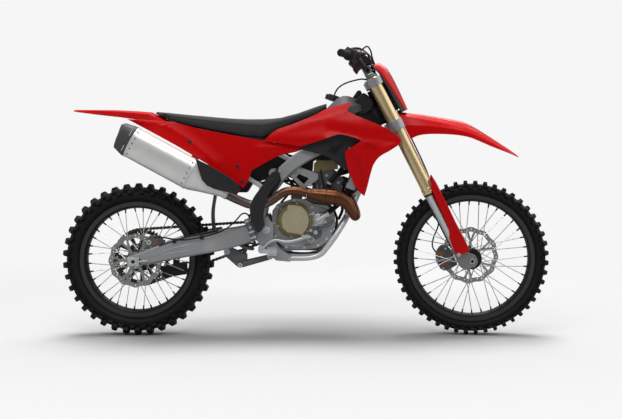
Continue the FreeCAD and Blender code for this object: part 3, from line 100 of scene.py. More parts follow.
def add(tree, kind, inputs=None, **settings):
    """Adds a node: settings are its own properties, inputs are numbers, colours or links."""
    made = tree.nodes.new("ShaderNode" + kind)
    for name, value in settings.items():
        setattr(made, name, value)
    for name, value in (inputs or {}).items():
        if isinstance(value, bpy.types.NodeSocket):
            tree.links.new(value, made.inputs[name])
        else:
            made.inputs[name].default_value = value
    return made


def lamp(name, kind, energy, place, aim, **settings):
    """A light at a place that looks at its aim."""
    data = bpy.data.lights.new(name, kind)
    data.energy = energy
    for key, value in settings.items():
        setattr(data, key, value)
    holder = bpy.data.objects.new(name, data)
    bpy.context.scene.collection.objects.link(holder)
    holder.location = place
    holder.rotation_euler = (Vector(aim) - Vector(place)).to_track_quat("-Z", "Y").to_euler()


lamp("overhead", "SUN", 2.62, (0.1, 0.55, 4), (0.1, 0, 0), angle=math.radians(30))
lamp("softbox", "AREA", 52, (-0.5, -3.2, 2.7), (0.25, 0, -0.3), shape="RECTANGLE", size=2.6, size_y=0.9)
lamp("edge_light", "AREA", 24, (1.2, 2.8, 1.9), (0.3, 0, -0.3), shape="RECTANGLE", size=2.4, size_y=1.0)

world = bpy.data.worlds.new("studio")
bpy.context.scene.world = world
world.use_nodes = True
sky = world.node_tree
sky.nodes.clear()
path = add(sky, "LightPath")
line = add(sky, "TexCoord")
height = add(sky, "SeparateXYZ", {0: line.outputs["Generated"]})
panel = add(sky, "MapRange", {
    "Value": height.outputs["Z"], "From Min": 0.1, "From Max": 0.85, "To Min": 0.1, "To Max": 0.62},
    interpolation_type="SMOOTHSTEP")
ends = []
for begins, full, strength in ((0.5, 0.8, 1.2), (-0.5, -0.8, 0.6)):
    ends.append(add(sky, "MapRange", {
        "Value": height.outputs["X"], "From Min": begins, "From Max": full, "To Max": strength},
        interpolation_type="SMOOTHSTEP"))
both_ends = add(sky, "Math", {0: ends[0].outputs[0], 1: ends[1].outputs[0]}, operation="ADD")
wings = add(sky, "Math", {0: both_ends.outputs[0], 1: path.outputs["Is Glossy Ray"]}, operation="MULTIPLY")
lit = add(sky, "Math", {0: panel.outputs[0], 1: wings.outputs[0]}, operation="ADD")
room_light = add(sky, "Background", {"Color": linear("ffffff"), "Strength": lit.outputs[0]})
backdrop = add(sky, "Background", {"Color": linear(BACKDROP), "Strength": 1.0})
mixed = add(sky, "MixShader", {
    0: path.outputs["Is Camera Ray"], 1: room_light.outputs[0], 2: backdrop.outputs[0]})
add(sky, "OutputWorld", {"Surface": mixed.outputs[0]})

floor_paint = bpy.data.materials.new("studio_floor_paint")
floor_paint.use_nodes = True
tree = floor_paint.node_tree
tree.nodes.clear()
path = add(tree, "LightPath")
spot = add(tree, "TexCoord")
away = add(tree, "VectorMath", {0: spot.outputs["Object"]}, operation="LENGTH")
fade = add(tree, "MapRange", {"Value": away.outputs["Value"], "From Min": FADE_FROM, "From Max": FADE_TO},
           interpolation_type="SMOOTHSTEP")
# Painted shadow: the floor's paint is darkened, down to 0.58 of its colour, in a soft patch under the bike.
under = add(tree, "Mapping", {
    "Vector": spot.outputs["Object"], "Location": (0.0, -0.25, 0.0), "Scale": (1.05, 2.5, 0.0)})
from_painted_shadow_middle = add(tree, "VectorMath", {0: under.outputs[0]}, operation="LENGTH")
patch = add(tree, "MapRange", {
    "Value": from_painted_shadow_middle.outputs["Value"], "From Min": 0.0, "From Max": 1.4, "To Min": 0.58, "To Max": 1.0},
    interpolation_type="SMOOTHSTEP")
pale = add(tree, "VectorMath", {0: linear("cccccc")[:3], "Scale": patch.outputs[0]}, operation="SCALE")
paint = add(tree, "BsdfDiffuse", {"Color": pale.outputs[0]})
glow = add(tree, "Emission", {"Color": linear(BACKDROP), "Strength": 1.0})
shown = add(tree, "MixShader", {0: fade.outputs[0], 1: paint.outputs[0], 2: glow.outputs[0]})
dim = add(tree, "BsdfDiffuse", {"Color": linear("9a9a9a")})
mixed = add(tree, "MixShader", {
    0: path.outputs["Is Camera Ray"], 1: dim.outputs[0], 2: shown.outputs[0]})
add(tree, "OutputMaterial", {"Surface": mixed.outputs[0]})

FLOOR_HALF = 30.0
floor_mesh = bpy.data.meshes.new("studio_floor")
floor_mesh.from_pydata([(x, y, 0) for x, y in ((-1, -1), (1, -1), (1, 1), (-1, 1))], [], [(0, 1, 2, 3)])
floor_mesh.transform(Matrix.Scale(FLOOR_HALF, 4))
floor_mesh.materials.append(floor_paint)
floor = bpy.data.objects.new("studio_floor", floor_mesh)
bpy.context.scene.collection.objects.link(floor)
floor.location = BIKE @ Vector((747.0, 0, -0.3))

# Tyres: a round carcass with rings in its side wall, and rows of moulded knobs that stand on it:
# a double row and a wide block by turns at the crown, and one row on each shoulder.

TAU = 2 * math.pi


def merged(forms):
    """One form, as points and faces, from several."""
    points = []
    faces = []
    for some_points, some_faces in forms:
        start = len(points)
        points.extend(some_points)
        faces.extend([start + i for i in face] for face in some_faces)
    return points, faces


def moved(form, matrix):
    """A form carried to another place."""
    return [matrix @ Vector(point) for point in form[0]], form[1]


def mirrored(form):
    """A form's mirror image on the other side."""
    return [(x, -y, z) for x, y, z in form[0]], form[1]


def about_y(angle):
    """A turn about a cross line."""
    return Matrix.Rotation(angle, 4, "Y")


def corners(x_from, x_to, z_from, z_to):
    """The four corners of an upright rectangle, or of the section of a ring."""
    return [(x_from, z_from), (x_to, z_from), (x_to, z_to), (x_from, z_to)]


def revolved(profile, steps=144):
    """A closed profile of (radius, y) points turned about the Y axis."""
    points = []
    faces = []
    count = len(profile)
    for k in range(steps):
        angle = TAU * k / steps
        points.extend((r * math.cos(angle), y, r * math.sin(angle)) for r, y in profile)
        after = (k + 1) % steps
        for i in range(count):
            j = (i + 1) % count
            faces.append((k * count + i, k * count + j, after * count + j, after * count + i))
    return points, faces


def loft(rings):
    """A skin over rings that have the same number of points, closed at both ends."""
    count = len(rings[0])
    points = [point for ring in rings for point in ring]
    faces = []
    for k in range(len(rings) - 1):
        for i in range(count):
            j = (i + 1) % count
            faces.append((k * count + i, k * count + j, (k + 1) * count + j, (k + 1) * count + i))
    faces.append(tuple(range(count)))
    faces.append(tuple(range(len(points) - count, len(points))))
    return points, faces


def piece(name, form, place, paint, body, slot, *replaced, bevel=0.0, sharp=35.0):
    """A piece from a form, or a list of them, in one of the places; bevel rounds its edges by mm."""
    points, faces = merged(form) if isinstance(form, list) else form
    mesh = bpy.data.meshes.new(name)
    mesh.from_pydata([tuple(point) for point in points], [], faces)
    mesh.transform(place)
    edit = bmesh.new()
    edit.from_mesh(mesh)
    bmesh.ops.remove_doubles(edit, verts=edit.verts, dist=0.005 * MM)
    bmesh.ops.recalc_face_normals(edit, faces=edit.faces)
    edit.to_mesh(mesh)
    edit.free()
    mesh.materials.append(paint)
    mesh.shade_smooth()
    mesh.set_sharp_from_angle(angle=math.radians(sharp))
    made = bpy.data.objects.new(name, mesh)
    bpy.context.scene.collection.objects.link(made)
    if bevel:
        rounding = made.modifiers.new("rounding", "BEVEL")
        rounding.width = bevel * MM
        rounding.segments = 2
        rounding.angle_limit = math.radians(sharp)
    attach(made, body)
    if replaced:
        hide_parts(*replaced)
    return made


def surface(name, colour, rough, metal=0.0, shine=0.5, grain=1.5, depth=0.0, vary=0.08, broad=70.0,
            stretch=(1.0, 1.0, 1.0)):
    """A finish whose colour and gloss vary over broad mm and whose skin has a grain of grain mm."""
    made = bpy.data.materials.new(name)
    made.use_nodes = True
    tree = made.node_tree
    tree.nodes.clear()
    spot = add(tree, "TexCoord")
    drawn = add(tree, "Mapping", {"Vector": spot.outputs["Object"], "Scale": stretch})
    fine = add(tree, "TexNoise", {"Vector": drawn.outputs[0], "Scale": 1 / (grain * MM), "Detail": 3.0})
    patch = add(tree, "TexNoise", {"Vector": spot.outputs["Object"], "Scale": 1 / (broad * MM)})
    tone = add(tree, "MapRange", {
        "Value": patch.outputs["Fac"], "From Min": 0.3, "From Max": 0.7, "To Min": 1 - vary,
        "To Max": 1 + vary})
    base = add(tree, "VectorMath", {0: linear(colour)[:3], "Scale": tone.outputs[0]}, operation="SCALE")
    worn = add(tree, "MapRange", {
        "Value": fine.outputs["Fac"], "From Min": 0.3, "From Max": 0.7, "To Min": rough * 0.88,
        "To Max": min(1.0, rough * 1.12)})
    inputs = {
        "Base Color": base.outputs[0], "Roughness": worn.outputs[0], "Metallic": metal,
        "Specular IOR Level": shine}
    if depth:
        bump = add(tree, "Bump", {"Height": fine.outputs["Fac"], "Distance": depth * MM, "Strength": 0.9})
        inputs["Normal"] = bump.outputs[0]
    paint = add(tree, "BsdfPrincipled", inputs)
    add(tree, "OutputMaterial", {"Surface": paint.outputs[0]})
    return made


def tyre_carcass(rim_r, bead_half, middle_r, rise, half):
    """Round section from bead to bead: half wide, its crown rise above middle_r."""
    side = [(rim_r + 0.4, bead_half - 6), (rim_r + 5, bead_half - 4), (rim_r + 6.5, bead_half + 0.5)]
    side.extend([(rim_r + 9, bead_half + 2.5), (rim_r + 11, bead_half + 1.5)])
    turns = [math.radians(angle) for angle in range(108, 3, -8)]
    side.extend((middle_r + rise * math.cos(turn), half * math.sin(turn)) for turn in turns)
    whole = side + [(radius, -y) for radius, y in reversed(side)]
    return revolved(whole, 120)


def knob(long, wide, high):
    """Tapered block, long round the wheel and wide across it, with its foot in the carcass."""
    rings = []
    for level, size in ((-0.35, 1.12), (0.0, 1.04), (0.88, 0.9), (1.0, 0.8)):
        rings.append([(x * long * size / 2, y * wide * size / 2, level * high)
                      for x, y in corners(-1, 1, -1, 1)])
    return loft(rings)


def tread(pitches, middle_r, rise, half, proud, size):
    """The rows of knobs: each row is (turn round the section, share of a pitch, long, wide)."""
    rows = (
        ((-14, 0.0, 24, 20), (14, 0.0, 24, 20), (-44, 0.0, 25, 21), (44, 0.0, 25, 21),
         (-69, 0.42, 24, 13), (69, 0.42, 24, 13)),
        ((0, 0.0, 22, 26), (-28, 0.0, 22, 14), (28, 0.0, 22, 14), (-48, 0.0, 24, 20),
         (48, 0.0, 24, 20), (-69, 0.42, 22, 15), (69, 0.42, 22, 15)),
    )
    knobs = []
    for i in range(pitches):
        for turn_deg, share, long, wide in rows[i % 2]:
            turn = math.radians(turn_deg)
            high = proud * (1.0 - 0.12 * abs(math.sin(turn)))
            stand = Matrix.Translation((0, half * math.sin(turn), middle_r + rise * math.cos(turn)))
            lean = Matrix.Rotation(-turn, 4, "X")
            round_wheel = about_y(TAU * (i + share) / pitches)
            knobs.append(moved(knob(long * size, wide * size, high), round_wheel @ stand @ lean))
    return merged(knobs)


def tyre_rubber():
    """Dull black rubber with a fine moulded grain."""
    return surface("tyre_rubber", "111111", 0.6, shine=0.25, grain=2.2, depth=0.25, vary=0.12)


def on_wheel(end, name, form, paint, slot, *replaced, **edges):
    """Piece that turns with the rear or the front wheel."""
    place = REAR if end == "rear" else FORK
    return piece(end + name, form, place, paint, end + "_wheel", slot, *replaced, **edges)


rubber = tyre_rubber()
for end, rim_r, bead_half, section, pitches, proud, size in (
    ("rear", 254, 33, (285, 38, 47), 38, 17.0, 1.0), ("front", 279, 25, (305, 27.5, 35), 48, 14.0, 0.76),
):
    tyre = [tyre_carcass(rim_r, bead_half, *section), tread(pitches, *section, proud, size)]
    on_wheel(end, "_tyre_knobbly", tyre, rubber, "tyre_rubber", end + "_tyre", sharp=40)

# Rims: rolled aluminium, anodised black, with a drop centre for the tyre's beads, and on each side
# a flat band in a lighter dark grey, a painted sheen where the rim's side takes the light.


def black_anodised():
    """Satin black anodised aluminium."""
    return surface("black_anodised", "0e0e0f", 0.42, metal=0.3, grain=0.8, depth=0.04)


def band_painted_sheen():
    """The flat side of the rim in a lighter grey: a painted sheen where it takes the light."""
    return surface("rim_band_grey", "3c3d3f", 0.5, metal=0.3, grain=0.8, depth=0.03)


def rim_form(outer, inner, half):
    """Rim whose flanges reach outer and whose well lies at inner."""
    flange = [(outer, half - 3.2), (outer - 9, half - 5), (outer - 11, half - 11), (inner + 5, 9)]
    under = [(inner, 9), (outer - 20, half - 2), (outer - 18, half), (outer - 1, half), (outer, half - 1)]
    inside = flange + [(r, -y) for r, y in reversed(flange)]
    outside = [(r, -y) for r, y in reversed(under)] + under
    return revolved(inside + outside, 180)


def band_form(outer, half):
    """Ring that lies on the side of the rim."""
    ring = [(outer + 4, half - 0.5), (outer + 4, half + 0.25), (outer - 14, half + 0.25),
            (outer - 14, half - 0.5)]
    one = revolved(ring, 180)
    return merged([one, mirrored(one)])


rim_black = black_anodised()
# The bands' lighter grey stands for the sheen of the rim's flat side: a painted sheen.
rim_painted_sheen = band_painted_sheen()
for end, outer, inner, half in (("rear", 254, 228, 33), ("front", 279, 253, 25)):
    on_wheel(end, "_rim_ring", rim_form(outer, inner, half), rim_black, "black_rim", end + "_rim")
    on_wheel(end, "_rim_bands", band_form(outer, half), rim_painted_sheen, "black_rim")

# Hubs: turned black flanges with bearing seals at the ends, and 36 crossed spokes of bright
# drawn steel, each with its headed end in a flange and a black nipple at the rim.

SPOKES = 36


def spoke_steel():
    """Bright drawn steel."""
    return surface("spoke_steel", "c9cacc", 0.28, metal=0.9, grain=0.6, depth=0.02)


def round_bar(start, end, start_r, end_r=None, sides=10):
    """Cylinder or cone between two points."""
    start = Vector(start)
    end = Vector(end)
    end_r = start_r if end_r is None else end_r
    along = (end - start).normalized()
    first = along.cross(Vector((0, 1, 0)) if abs(along.y) < 0.9 else Vector((1, 0, 0))).normalized()
    second = along.cross(first)
    rings = []
    for centre, radius in ((start, start_r), (end, end_r)):
        angles = [TAU * i / sides for i in range(sides)]
        rings.append([centre + (first * math.cos(a) + second * math.sin(a)) * radius for a in angles])
    return loft(rings)


def cross_bar(x, z, y_from, y_to, start_r, end_r=None, sides=10):
    """Bar or cone straight across the bike."""
    return round_bar((x, y_from, z), (x, y_to, z), start_r, end_r, sides)


def laced_spokes(flange_r, flange_y, rim_inner, tilt):
    """Spokes and nipples, laced as on the frame: every second one to a side, leaning by turns."""
    spokes = []
    nipples = []
    for i in range(SPOKES):
        side = 1 if i % 2 else -1
        forward = (i // 2) % 2
        rim_angle = TAU * (i + 0.5) / SPOKES
        hub_angle = rim_angle + (tilt if forward else -tilt)
        hub_y = side * (flange_y + (3 if forward else -3))
        inner = Vector((flange_r * math.cos(hub_angle), hub_y, flange_r * math.sin(hub_angle)))
        outer = Vector((rim_inner * math.cos(rim_angle), side * 5.0, rim_inner * math.sin(rim_angle)))
        along = (outer - inner).normalized()
        spokes.append(round_bar(inner, outer - along * 4, 1.9, sides=8))
        head = side * (3 if forward else -3)
        spokes.append(round_bar(inner + Vector((0, head, 0)), inner - Vector((0, head, 0)), 3.1, sides=8))
        nipples.append(round_bar(outer - along * 16, outer + along * 2, 3.0, 3.8, sides=6))
    return merged(spokes), merged(nipples)


steel = spoke_steel()
hub_black = surface("hub_black", "131314", 0.38, metal=0.4, grain=0.7, depth=0.03)
rear_hub_profile = [
    (12.7, -71.8), (33, -71.8), (34, -60), (44, -55), (46, -53), (46, -43), (43, -41), (29, -32), (27, 0),
    (30, 28), (47, 39), (49, 41), (49, 51), (47, 53), (60, 58), (61, 71), (12.7, 71),
]
front_hub_profile = [
    (11.2, -57.6), (19, -57.6), (21, -52), (44, -49), (47, -47), (47, -39), (44, -37), (25, -29), (21, 0),
    (25, 30), (41, 37), (43, 39), (43, 47), (41, 49), (34, 52), (33, 61), (11.2, 61),
]
for end, profile, flange, rim_inner, tilt in (
    ("rear", rear_hub_profile, (39.0, 47.0), 228.0, 0.85),
    ("front", front_hub_profile, (37.0, 43.0), 253.0, 0.95),
):
    spokes, nipples = laced_spokes(*flange, rim_inner, tilt)
    on_wheel(end, "_hub_body", revolved(profile, 96), hub_black, "hub_alloy", end + "_hub", bevel=0.6)
    on_wheel(end, "_spokes", spokes, steel, "axle_steel")
    on_wheel(end, "_nipples", nipples, hub_black, "axle_steel")

# Brake discs: a waved and drilled band of ground steel on six forked arms, which spring from a
# ring that is bolted to the hub.

DISC_THICK = 3.5
DISC_WAVES = 12
DISC_HOLE_R = 2.6
DISC_ARMS = 6


def ground_steel():
    """Disc steel ground round and round, with faint rings."""
    return surface("ground_steel", "a4a5a6", 0.34, metal=0.85, grain=0.9, depth=0.02)


def round_spot(angle, radius, x=0.0, z=0.0):
    """The point at an angle and a radius about (x, z)."""
    return x + radius * math.cos(angle), z + radius * math.sin(angle)


def circle_points(x, z, radius, count):
    """A circle about (x, z) as so many points."""
    return [round_spot(TAU * i / count, radius, x, z) for i in range(count)]


STOOD_UP = Matrix.Rotation(math.pi / 2, 4, "X")


def plate(outlines, y_from, y_to):
    """Flat plate in the XZ plane: the first outline is its edge and the others are its holes."""
    curve = bpy.data.curves.new("plate", "CURVE")
    curve.dimensions = "2D"
    curve.fill_mode = "BOTH"
    curve.extrude = abs(y_to - y_from) / 2
    for outline in outlines:
        spline = curve.splines.new("POLY")
        spline.points.add(len(outline) - 1)
        for point, (x, z) in zip(spline.points, outline):
            point.co = (x, z, 0, 1)
        spline.use_cyclic_u = True
    holder = bpy.data.objects.new("plate", curve)
    mesh = bpy.data.meshes.new_from_object(holder)
    stood = Matrix.Translation((0, (y_from + y_to) / 2, 0)) @ STOOD_UP
    points = [stood @ vertex.co for vertex in mesh.vertices]
    faces = [tuple(face.vertices) for face in mesh.polygons]
    bpy.data.objects.remove(holder)
    bpy.data.curves.remove(curve)
    bpy.data.meshes.remove(mesh)
    return points, faces


def waved(radius, depth, waves):
    """Round edge with so many waves, each sunk by depth."""
    steps = waves * 12
    angles = [TAU * i / steps for i in range(steps)]
    return [round_spot(a, radius - depth * (0.5 - 0.5 * math.cos(waves * a))) for a in angles]


def disc_band(outer, band):
    """Waved ring with three drilled holes to each wave."""
    outlines = [waved(outer, 6.0, DISC_WAVES), waved(outer - band, 5.0, DISC_WAVES)]
    middle = outer - band / 2 - 2.6
    for i in range(DISC_WAVES):
        for share, out in ((-0.27, -3.5), (0.0, 3.2), (0.27, -3.5)):
            centre = round_spot(TAU * (i + share) / DISC_WAVES, middle + out)
            outlines.append(circle_points(*centre, DISC_HOLE_R, 14))
    return outlines


def forked_arm(inner_r, fork_r, outer_r, spread):
    """Y-shaped arm from the hub to the band, along +X."""
    return [
        (inner_r, -7), (fork_r, -6), (outer_r, -spread - 5), (outer_r + 1, 5 - spread), (fork_r + 9, 0),
        (outer_r + 1, spread - 5), (outer_r, spread + 5), (fork_r, 6), (inner_r, 7),
    ]


def disc_forms(outer, band, y, arm_shape, ring_r):
    """The band, its arms, which are a little thinner, and the ring that they spring from."""
    low = y - DISC_THICK / 2
    high = y + DISC_THICK / 2
    forms = [plate(disc_band(outer, band), low, high)]
    arm = plate([arm_shape], low + 0.2, high - 0.2)
    forms.extend(moved(arm, about_y(TAU * i / DISC_ARMS)) for i in range(DISC_ARMS))
    forms.append(revolved(corners(ring_r, ring_r + 13, low + 0.1, high - 0.1), 72))
    return forms


disc_steel = ground_steel()
for end, sizes, arm, ring_r in (
    ("front", (130, 21, 63.0), (34, 66, 111, 17), 23), ("rear", (120, 20, -74.0), (36, 64, 102, 15), 25),
):
    forms = disc_forms(*sizes, forked_arm(*arm), ring_r)
    on_wheel(end, "_disc_drilled", forms, disc_steel, "disc_steel", end + "_disc")


def bolt(x, y, z, radius, out, high=3.0):
    """Hex-headed bolt with a round flange whose head stands out along out, 1 or -1."""
    flange = cross_bar(x, z, y, y + out * 0.3 * high, radius * 1.25, sides=20)
    head = cross_bar(x, z, y, y + out * high, radius, radius * 0.94, sides=6)
    socket = cross_bar(x, z, y + out * high, y + out * (high + 0.05), radius * 0.5, sides=6)
    return merged([flange, head, socket])


def ring_of_bolts(count, ring_r, y, radius, out):
    """Bolts round the wheel's axle, ring_r out from it."""
    angles = [TAU * (i + 0.5) / count for i in range(count)]
    return [bolt(ring_r * math.cos(a), y, ring_r * math.sin(a), radius, out) for a in angles]


for end, ring_r, y, out in (("front", 29, 64.7, 1), ("rear", 31, -75.7, -1)):
    on_wheel(end, "_disc_bolts", ring_of_bolts(DISC_ARMS, ring_r, y, 4.2, out), steel, "axle_steel")

# Final drive: the hard-anodised aluminium sprocket with its windows, bolted to the rear hub, and
# the steel chain, link by link, round the loop over both sprockets.

CHAIN_PITCH = 15.875
CHAIN_Y = 74.0
REAR_TEETH = 50
FRONT_TEETH = 13
OUTPUT = (655.0, 478.0)
SPROCKET_HALF = 2.8
TOOTH = (
    (-0.2, 3.4), (-0.09, 4.5), (0.09, 4.5), (0.2, 3.4), (0.33, -2.2), (0.42, -4.1), (0.58, -4.1),
    (0.67, -2.2),
)


def pitch_radius(teeth):
    """Radius at which a chain's pins lie on a sprocket."""
    return CHAIN_PITCH / (2 * math.sin(math.pi / teeth))


def sprocket_outline(teeth):
    """Teeth of rounded tips and roots, by (share of a tooth, rise over the pitch circle)."""
    pitch_r = pitch_radius(teeth)
    return [round_spot(TAU * (i + share) / teeth, pitch_r + rise) for i in range(teeth)
            for share, rise in TOOTH]


def window(radius_from, radius_to, angle_from, angle_to):
    """Hole between two radii and two angles in degrees, with cut corners."""
    spots = []
    for radius, angles in ((radius_to, (angle_from, angle_to)), (radius_from, (angle_to, angle_from))):
        low, high = angles
        turns = [math.radians(low + (high - low) * share) for share in (0.12, 0.37, 0.63, 0.88)]
        spots.extend(round_spot(turn, radius) for turn in turns)
    return spots


def bronze_plate():
    """Hard-anodised bronze brown aluminium."""
    return surface("bronze_plate", "4d3f24", 0.4, metal=0.6, grain=0.8, depth=0.03, vary=0.12)


sprocket_bronze = bronze_plate()
outlines = [sprocket_outline(REAR_TEETH), circle_points(0, 0, 28, 48)]
for i in range(6):
    outlines.append(window(72, 108, 60 * i + 3, 60 * i + 27))
    outlines.append(window(64, 108, 60 * i + 33, 60 * i + 57))
outlines.extend(circle_points(*round_spot(TAU * i / 18, 114), 2.4, 10) for i in range(18))
sprocket = plate(outlines, CHAIN_Y - SPROCKET_HALF, CHAIN_Y + SPROCKET_HALF)
sprocket_bolts = ring_of_bolts(6, 52, CHAIN_Y + SPROCKET_HALF, 5.0, 1)
on_wheel("rear", "_sprocket_plate", sprocket, sprocket_bronze, "sprocket_bronze", "rear_sprocket")
on_wheel("rear", "_sprocket_bolts", sprocket_bolts, steel, "axle_steel")


def along_tangent(angle, radius, far, centre):
    """The point that leaves a circle at an angle and goes so far along its tangent."""
    x, z = round_spot(angle, radius, *centre)
    return x - far * math.sin(angle), z + far * math.cos(angle)


def chain_places():
    """Pins of the chain, one pitch apart round the loop, about the ground under the rear axle."""
    rear_r = pitch_radius(REAR_TEETH)
    front_r = pitch_radius(FRONT_TEETH)
    run = Vector((OUTPUT[0], OUTPUT[1] - REAR_R))
    slope = math.atan2(run.y, run.x)
    opening = math.acos((rear_r - front_r) / run.length)
    straight = math.sqrt(run.length ** 2 - (rear_r - front_r) ** 2)
    rear_arc = rear_r * (TAU - 2 * opening)
    front_arc = front_r * 2 * opening
    total = rear_arc + front_arc + 2 * straight
    count = 2 * round(total / CHAIN_PITCH / 2)
    pins = []
    for i in range(count):
        away = total * i / count
        past_rear = away - rear_arc
        past_low = past_rear - straight
        if past_rear < 0:
            pins.append(round_spot(slope + opening + away / rear_r, rear_r, 0.0, REAR_R))
        elif past_low < 0:
            pins.append(along_tangent(slope - opening, rear_r, past_rear, (0.0, REAR_R)))
        elif past_low < front_arc:
            pins.append(round_spot(slope - opening + past_low / front_r, front_r, *OUTPUT))
        else:
            pins.append(along_tangent(slope + opening, front_r, past_low - front_arc, OUTPUT))
    return pins


def link_plate(y_from, y_to, half=7.0, waist=4.6):
    """Waisted side plate of one link, from a pin at the origin to one a pitch along X."""
    edge = []
    for centre, turn in ((0.0, 90), (CHAIN_PITCH, -90)):
        for step in range(7):
            angle = math.radians(turn + step * 30)
            edge.append((centre + half * math.cos(angle) * 0.97, half * math.sin(angle)))
        edge.append((CHAIN_PITCH / 2, -waist if turn > 0 else waist))
    rings = [[(x, y, z) for x, z in edge] for y in (y_from, y_to)]
    return loft(rings)


def chain_steel():
    """Plated steel, a little dark from use and oil."""
    return surface("chain_steel", "5b5850", 0.4, metal=0.75, grain=1.0, depth=0.05, vary=0.2, broad=12.0)


def on_chassis(name, form, paint, slot, *replaced, place=BIKE, **edges):
    """Piece that stays with the frame."""
    return piece(name, form, place, paint, "chassis", slot, *replaced, **edges)


links = []
pins = chain_places()
for i, (x, z) in enumerate(pins):
    to_x, to_z = pins[(i + 1) % len(pins)]
    turn = about_y(-math.atan2(to_z - z, to_x - x))
    place = Matrix.Translation((x, CHAIN_Y, z)) @ turn
    reach = 5.8 if i % 2 else 3.8
    for side in (-1, 1):
        links.append(moved(link_plate(side * reach, side * (reach + 1.9)), place))
    links.append(moved(cross_bar(0, 0, -3.6, 3.6, 4.9, sides=12), place))
    links.append(moved(cross_bar(0, 0, -8, 8, 2.5, sides=8), place))
on_chassis("chain_links", links, chain_steel(), "chain_steel", "chain")

# Fork: gold anodised outer tubes with a turned mouth, bright inner tubes with a black strip of
# painted shade down the rear edge of each, and cast feet that clamp the hollow axle.

LEG_X = -34.0
LEG_Y = 101.0
STEM_X = -56.0


def gold_anodised():
    """Gold-bronze anodised aluminium, brushed along the tube."""
    return surface("gold_anodised", "e0ca9c", 0.3, metal=0.8, grain=1.2, depth=0.01, vary=0.04,
                   stretch=(1, 1, 0.1))


def bright_chrome():
    """Polished hard chrome."""
    return surface("bright_chrome", "d9dadc", 0.16, metal=1.0, grain=1.0, vary=0.03)


def cast_silver():
    """Bright cast and machined aluminium."""
    return surface("cast_silver", "cfd1d3", 0.36, metal=0.5, grain=1.4, depth=0.05)


def upright(profile, x, y, steps=48):
    """A closed profile of (radius, z) points turned about a line along Z."""
    return moved(revolved(profile, steps), Matrix.Translation((x, y, 0)) @ STOOD_UP)


def both_sides(*forms):
    """Forms that are drawn on one side, and their mirror images on the other."""
    one = merged(forms)
    return merged([one, mirrored(one)])


def on_legs(profile):
    """A turned shape about each leg of the fork."""
    return both_sides(upright(profile, LEG_X, LEG_Y))


def on_steering(name, form, paint, slot, *replaced, **edges):
    """Piece that turns with the fork."""
    return piece(name, form, FORK, paint, "steering", slot, *replaced, **edges)


gold = gold_anodised()
chrome = bright_chrome()
silver = cast_silver()
outer_tube = [
    (25.2, 349), (29.6, 349), (30.3, 350), (30.3, 360), (29.4, 361), (29.4, 365), (30.3, 366), (30.3, 372),
    (29.4, 373.5), (28.4, 380), (28.4, 913), (27.6, 914), (25.2, 914),
]
on_steering("fork_outer_tubes", on_legs(outer_tube), gold, "gold_tube", "fork_tubes")
dust_seal = [(24.6, 340), (28.8, 340), (29.2, 341), (29.2, 348.8), (24.6, 348.8)]
seal_rubber = surface("seal_rubber", "151515", 0.5, grain=1.0)
on_steering("fork_dust_seals", on_legs(dust_seal), seal_rubber, "black_rubber")
inner_tube = corners(2, 24.4, 60, 346)
# A black strip down the rear edge of each inner tube: painted shade where that edge falls dark.
strip = loft([[(LEG_X - 24.2 + dx, LEG_Y + y, z) for dx, y in ((-2.2, -7), (-2.2, 7), (1.6, 8), (1.6, -8))]
              for z in (90, 338)])
collar = [(24.2, 60), (28.5, 60), (29.4, 62), (29.4, 82), (27, 84), (24.2, 84)]
on_steering("fork_inner_tubes", on_legs(inner_tube), chrome, "slider_chrome", "fork_lowers")
on_steering("fork_painted_shade_strips", both_sides(strip), seal_rubber, "black_rubber")
foot_edge = [
    (-58, 61), (-60, 48), (-60, 8), (-56, -4), (-44, -20), (-36, -23), (2, -25), (14, -20), (22, -10),
    (24, -2), (24, 12), (19, 20), (8, 30), (-1, 44), (-8, 61),
]


def foot_form(side):
    """Foot with a split clamp round the axle and its two pinch bolts, open where the axle goes."""
    low, high = sorted((side * (LEG_Y - 18.6), side * (LEG_Y + 18.6)))
    hole = circle_points(0, 0, 11.1, 32)
    parts = [plate([foot_edge, hole], low, high)]
    pinch = moved(bolt(0, 0, 0, 3.6, 1, 4), Matrix.Rotation(math.pi / 2, 4, "Z"))
    for y in (LEG_Y - 9, LEG_Y + 9):
        parts.append(moved(pinch, Matrix.Translation((-6, side * y, -24.6)) @ about_y(-math.pi / 2)))
    return parts


feet = foot_form(1) + foot_form(-1) + [on_legs(collar)]
foot_cast = surface("foot_cast", "8b8d90", 0.42, metal=0.6, grain=1.5, depth=0.08)
on_steering("fork_feet", feet, foot_cast, "slider_chrome", bevel=1.6)
nut = [(7.6, 119.6), (14.4, 119.6), (15, 120.4), (15, 126), (13.6, 127), (7.6, 127)]
end_ring = [(7.6, -124.8), (10.4, -124.8), (10.9, -124.2), (10.9, -60), (7.6, -60)]
shaft = corners(7.6, 10.9, -60, 119.6)
on_steering("front_axle_hollow", [revolved(part, 48) for part in (nut, end_ring, shaft)], silver,
            "axle_steel", "front_axle")

# Brake caliper in front: a cast aluminium body with two pistons, screwed to the left fork foot,
# with its orange-brown pads on either side of the disc.


def cast_dark():
    """Dark cast aluminium with a sand-cast skin."""
    return surface("cast_dark", "6a6c6f", 0.5, metal=0.6, grain=1.6, depth=0.12, vary=0.15, broad=25.0)


def pad_compound():
    """Orange-brown brake pad backs."""
    return surface("pad_compound", "a85c1e", 0.5, metal=0.2, grain=1.5, depth=0.08)


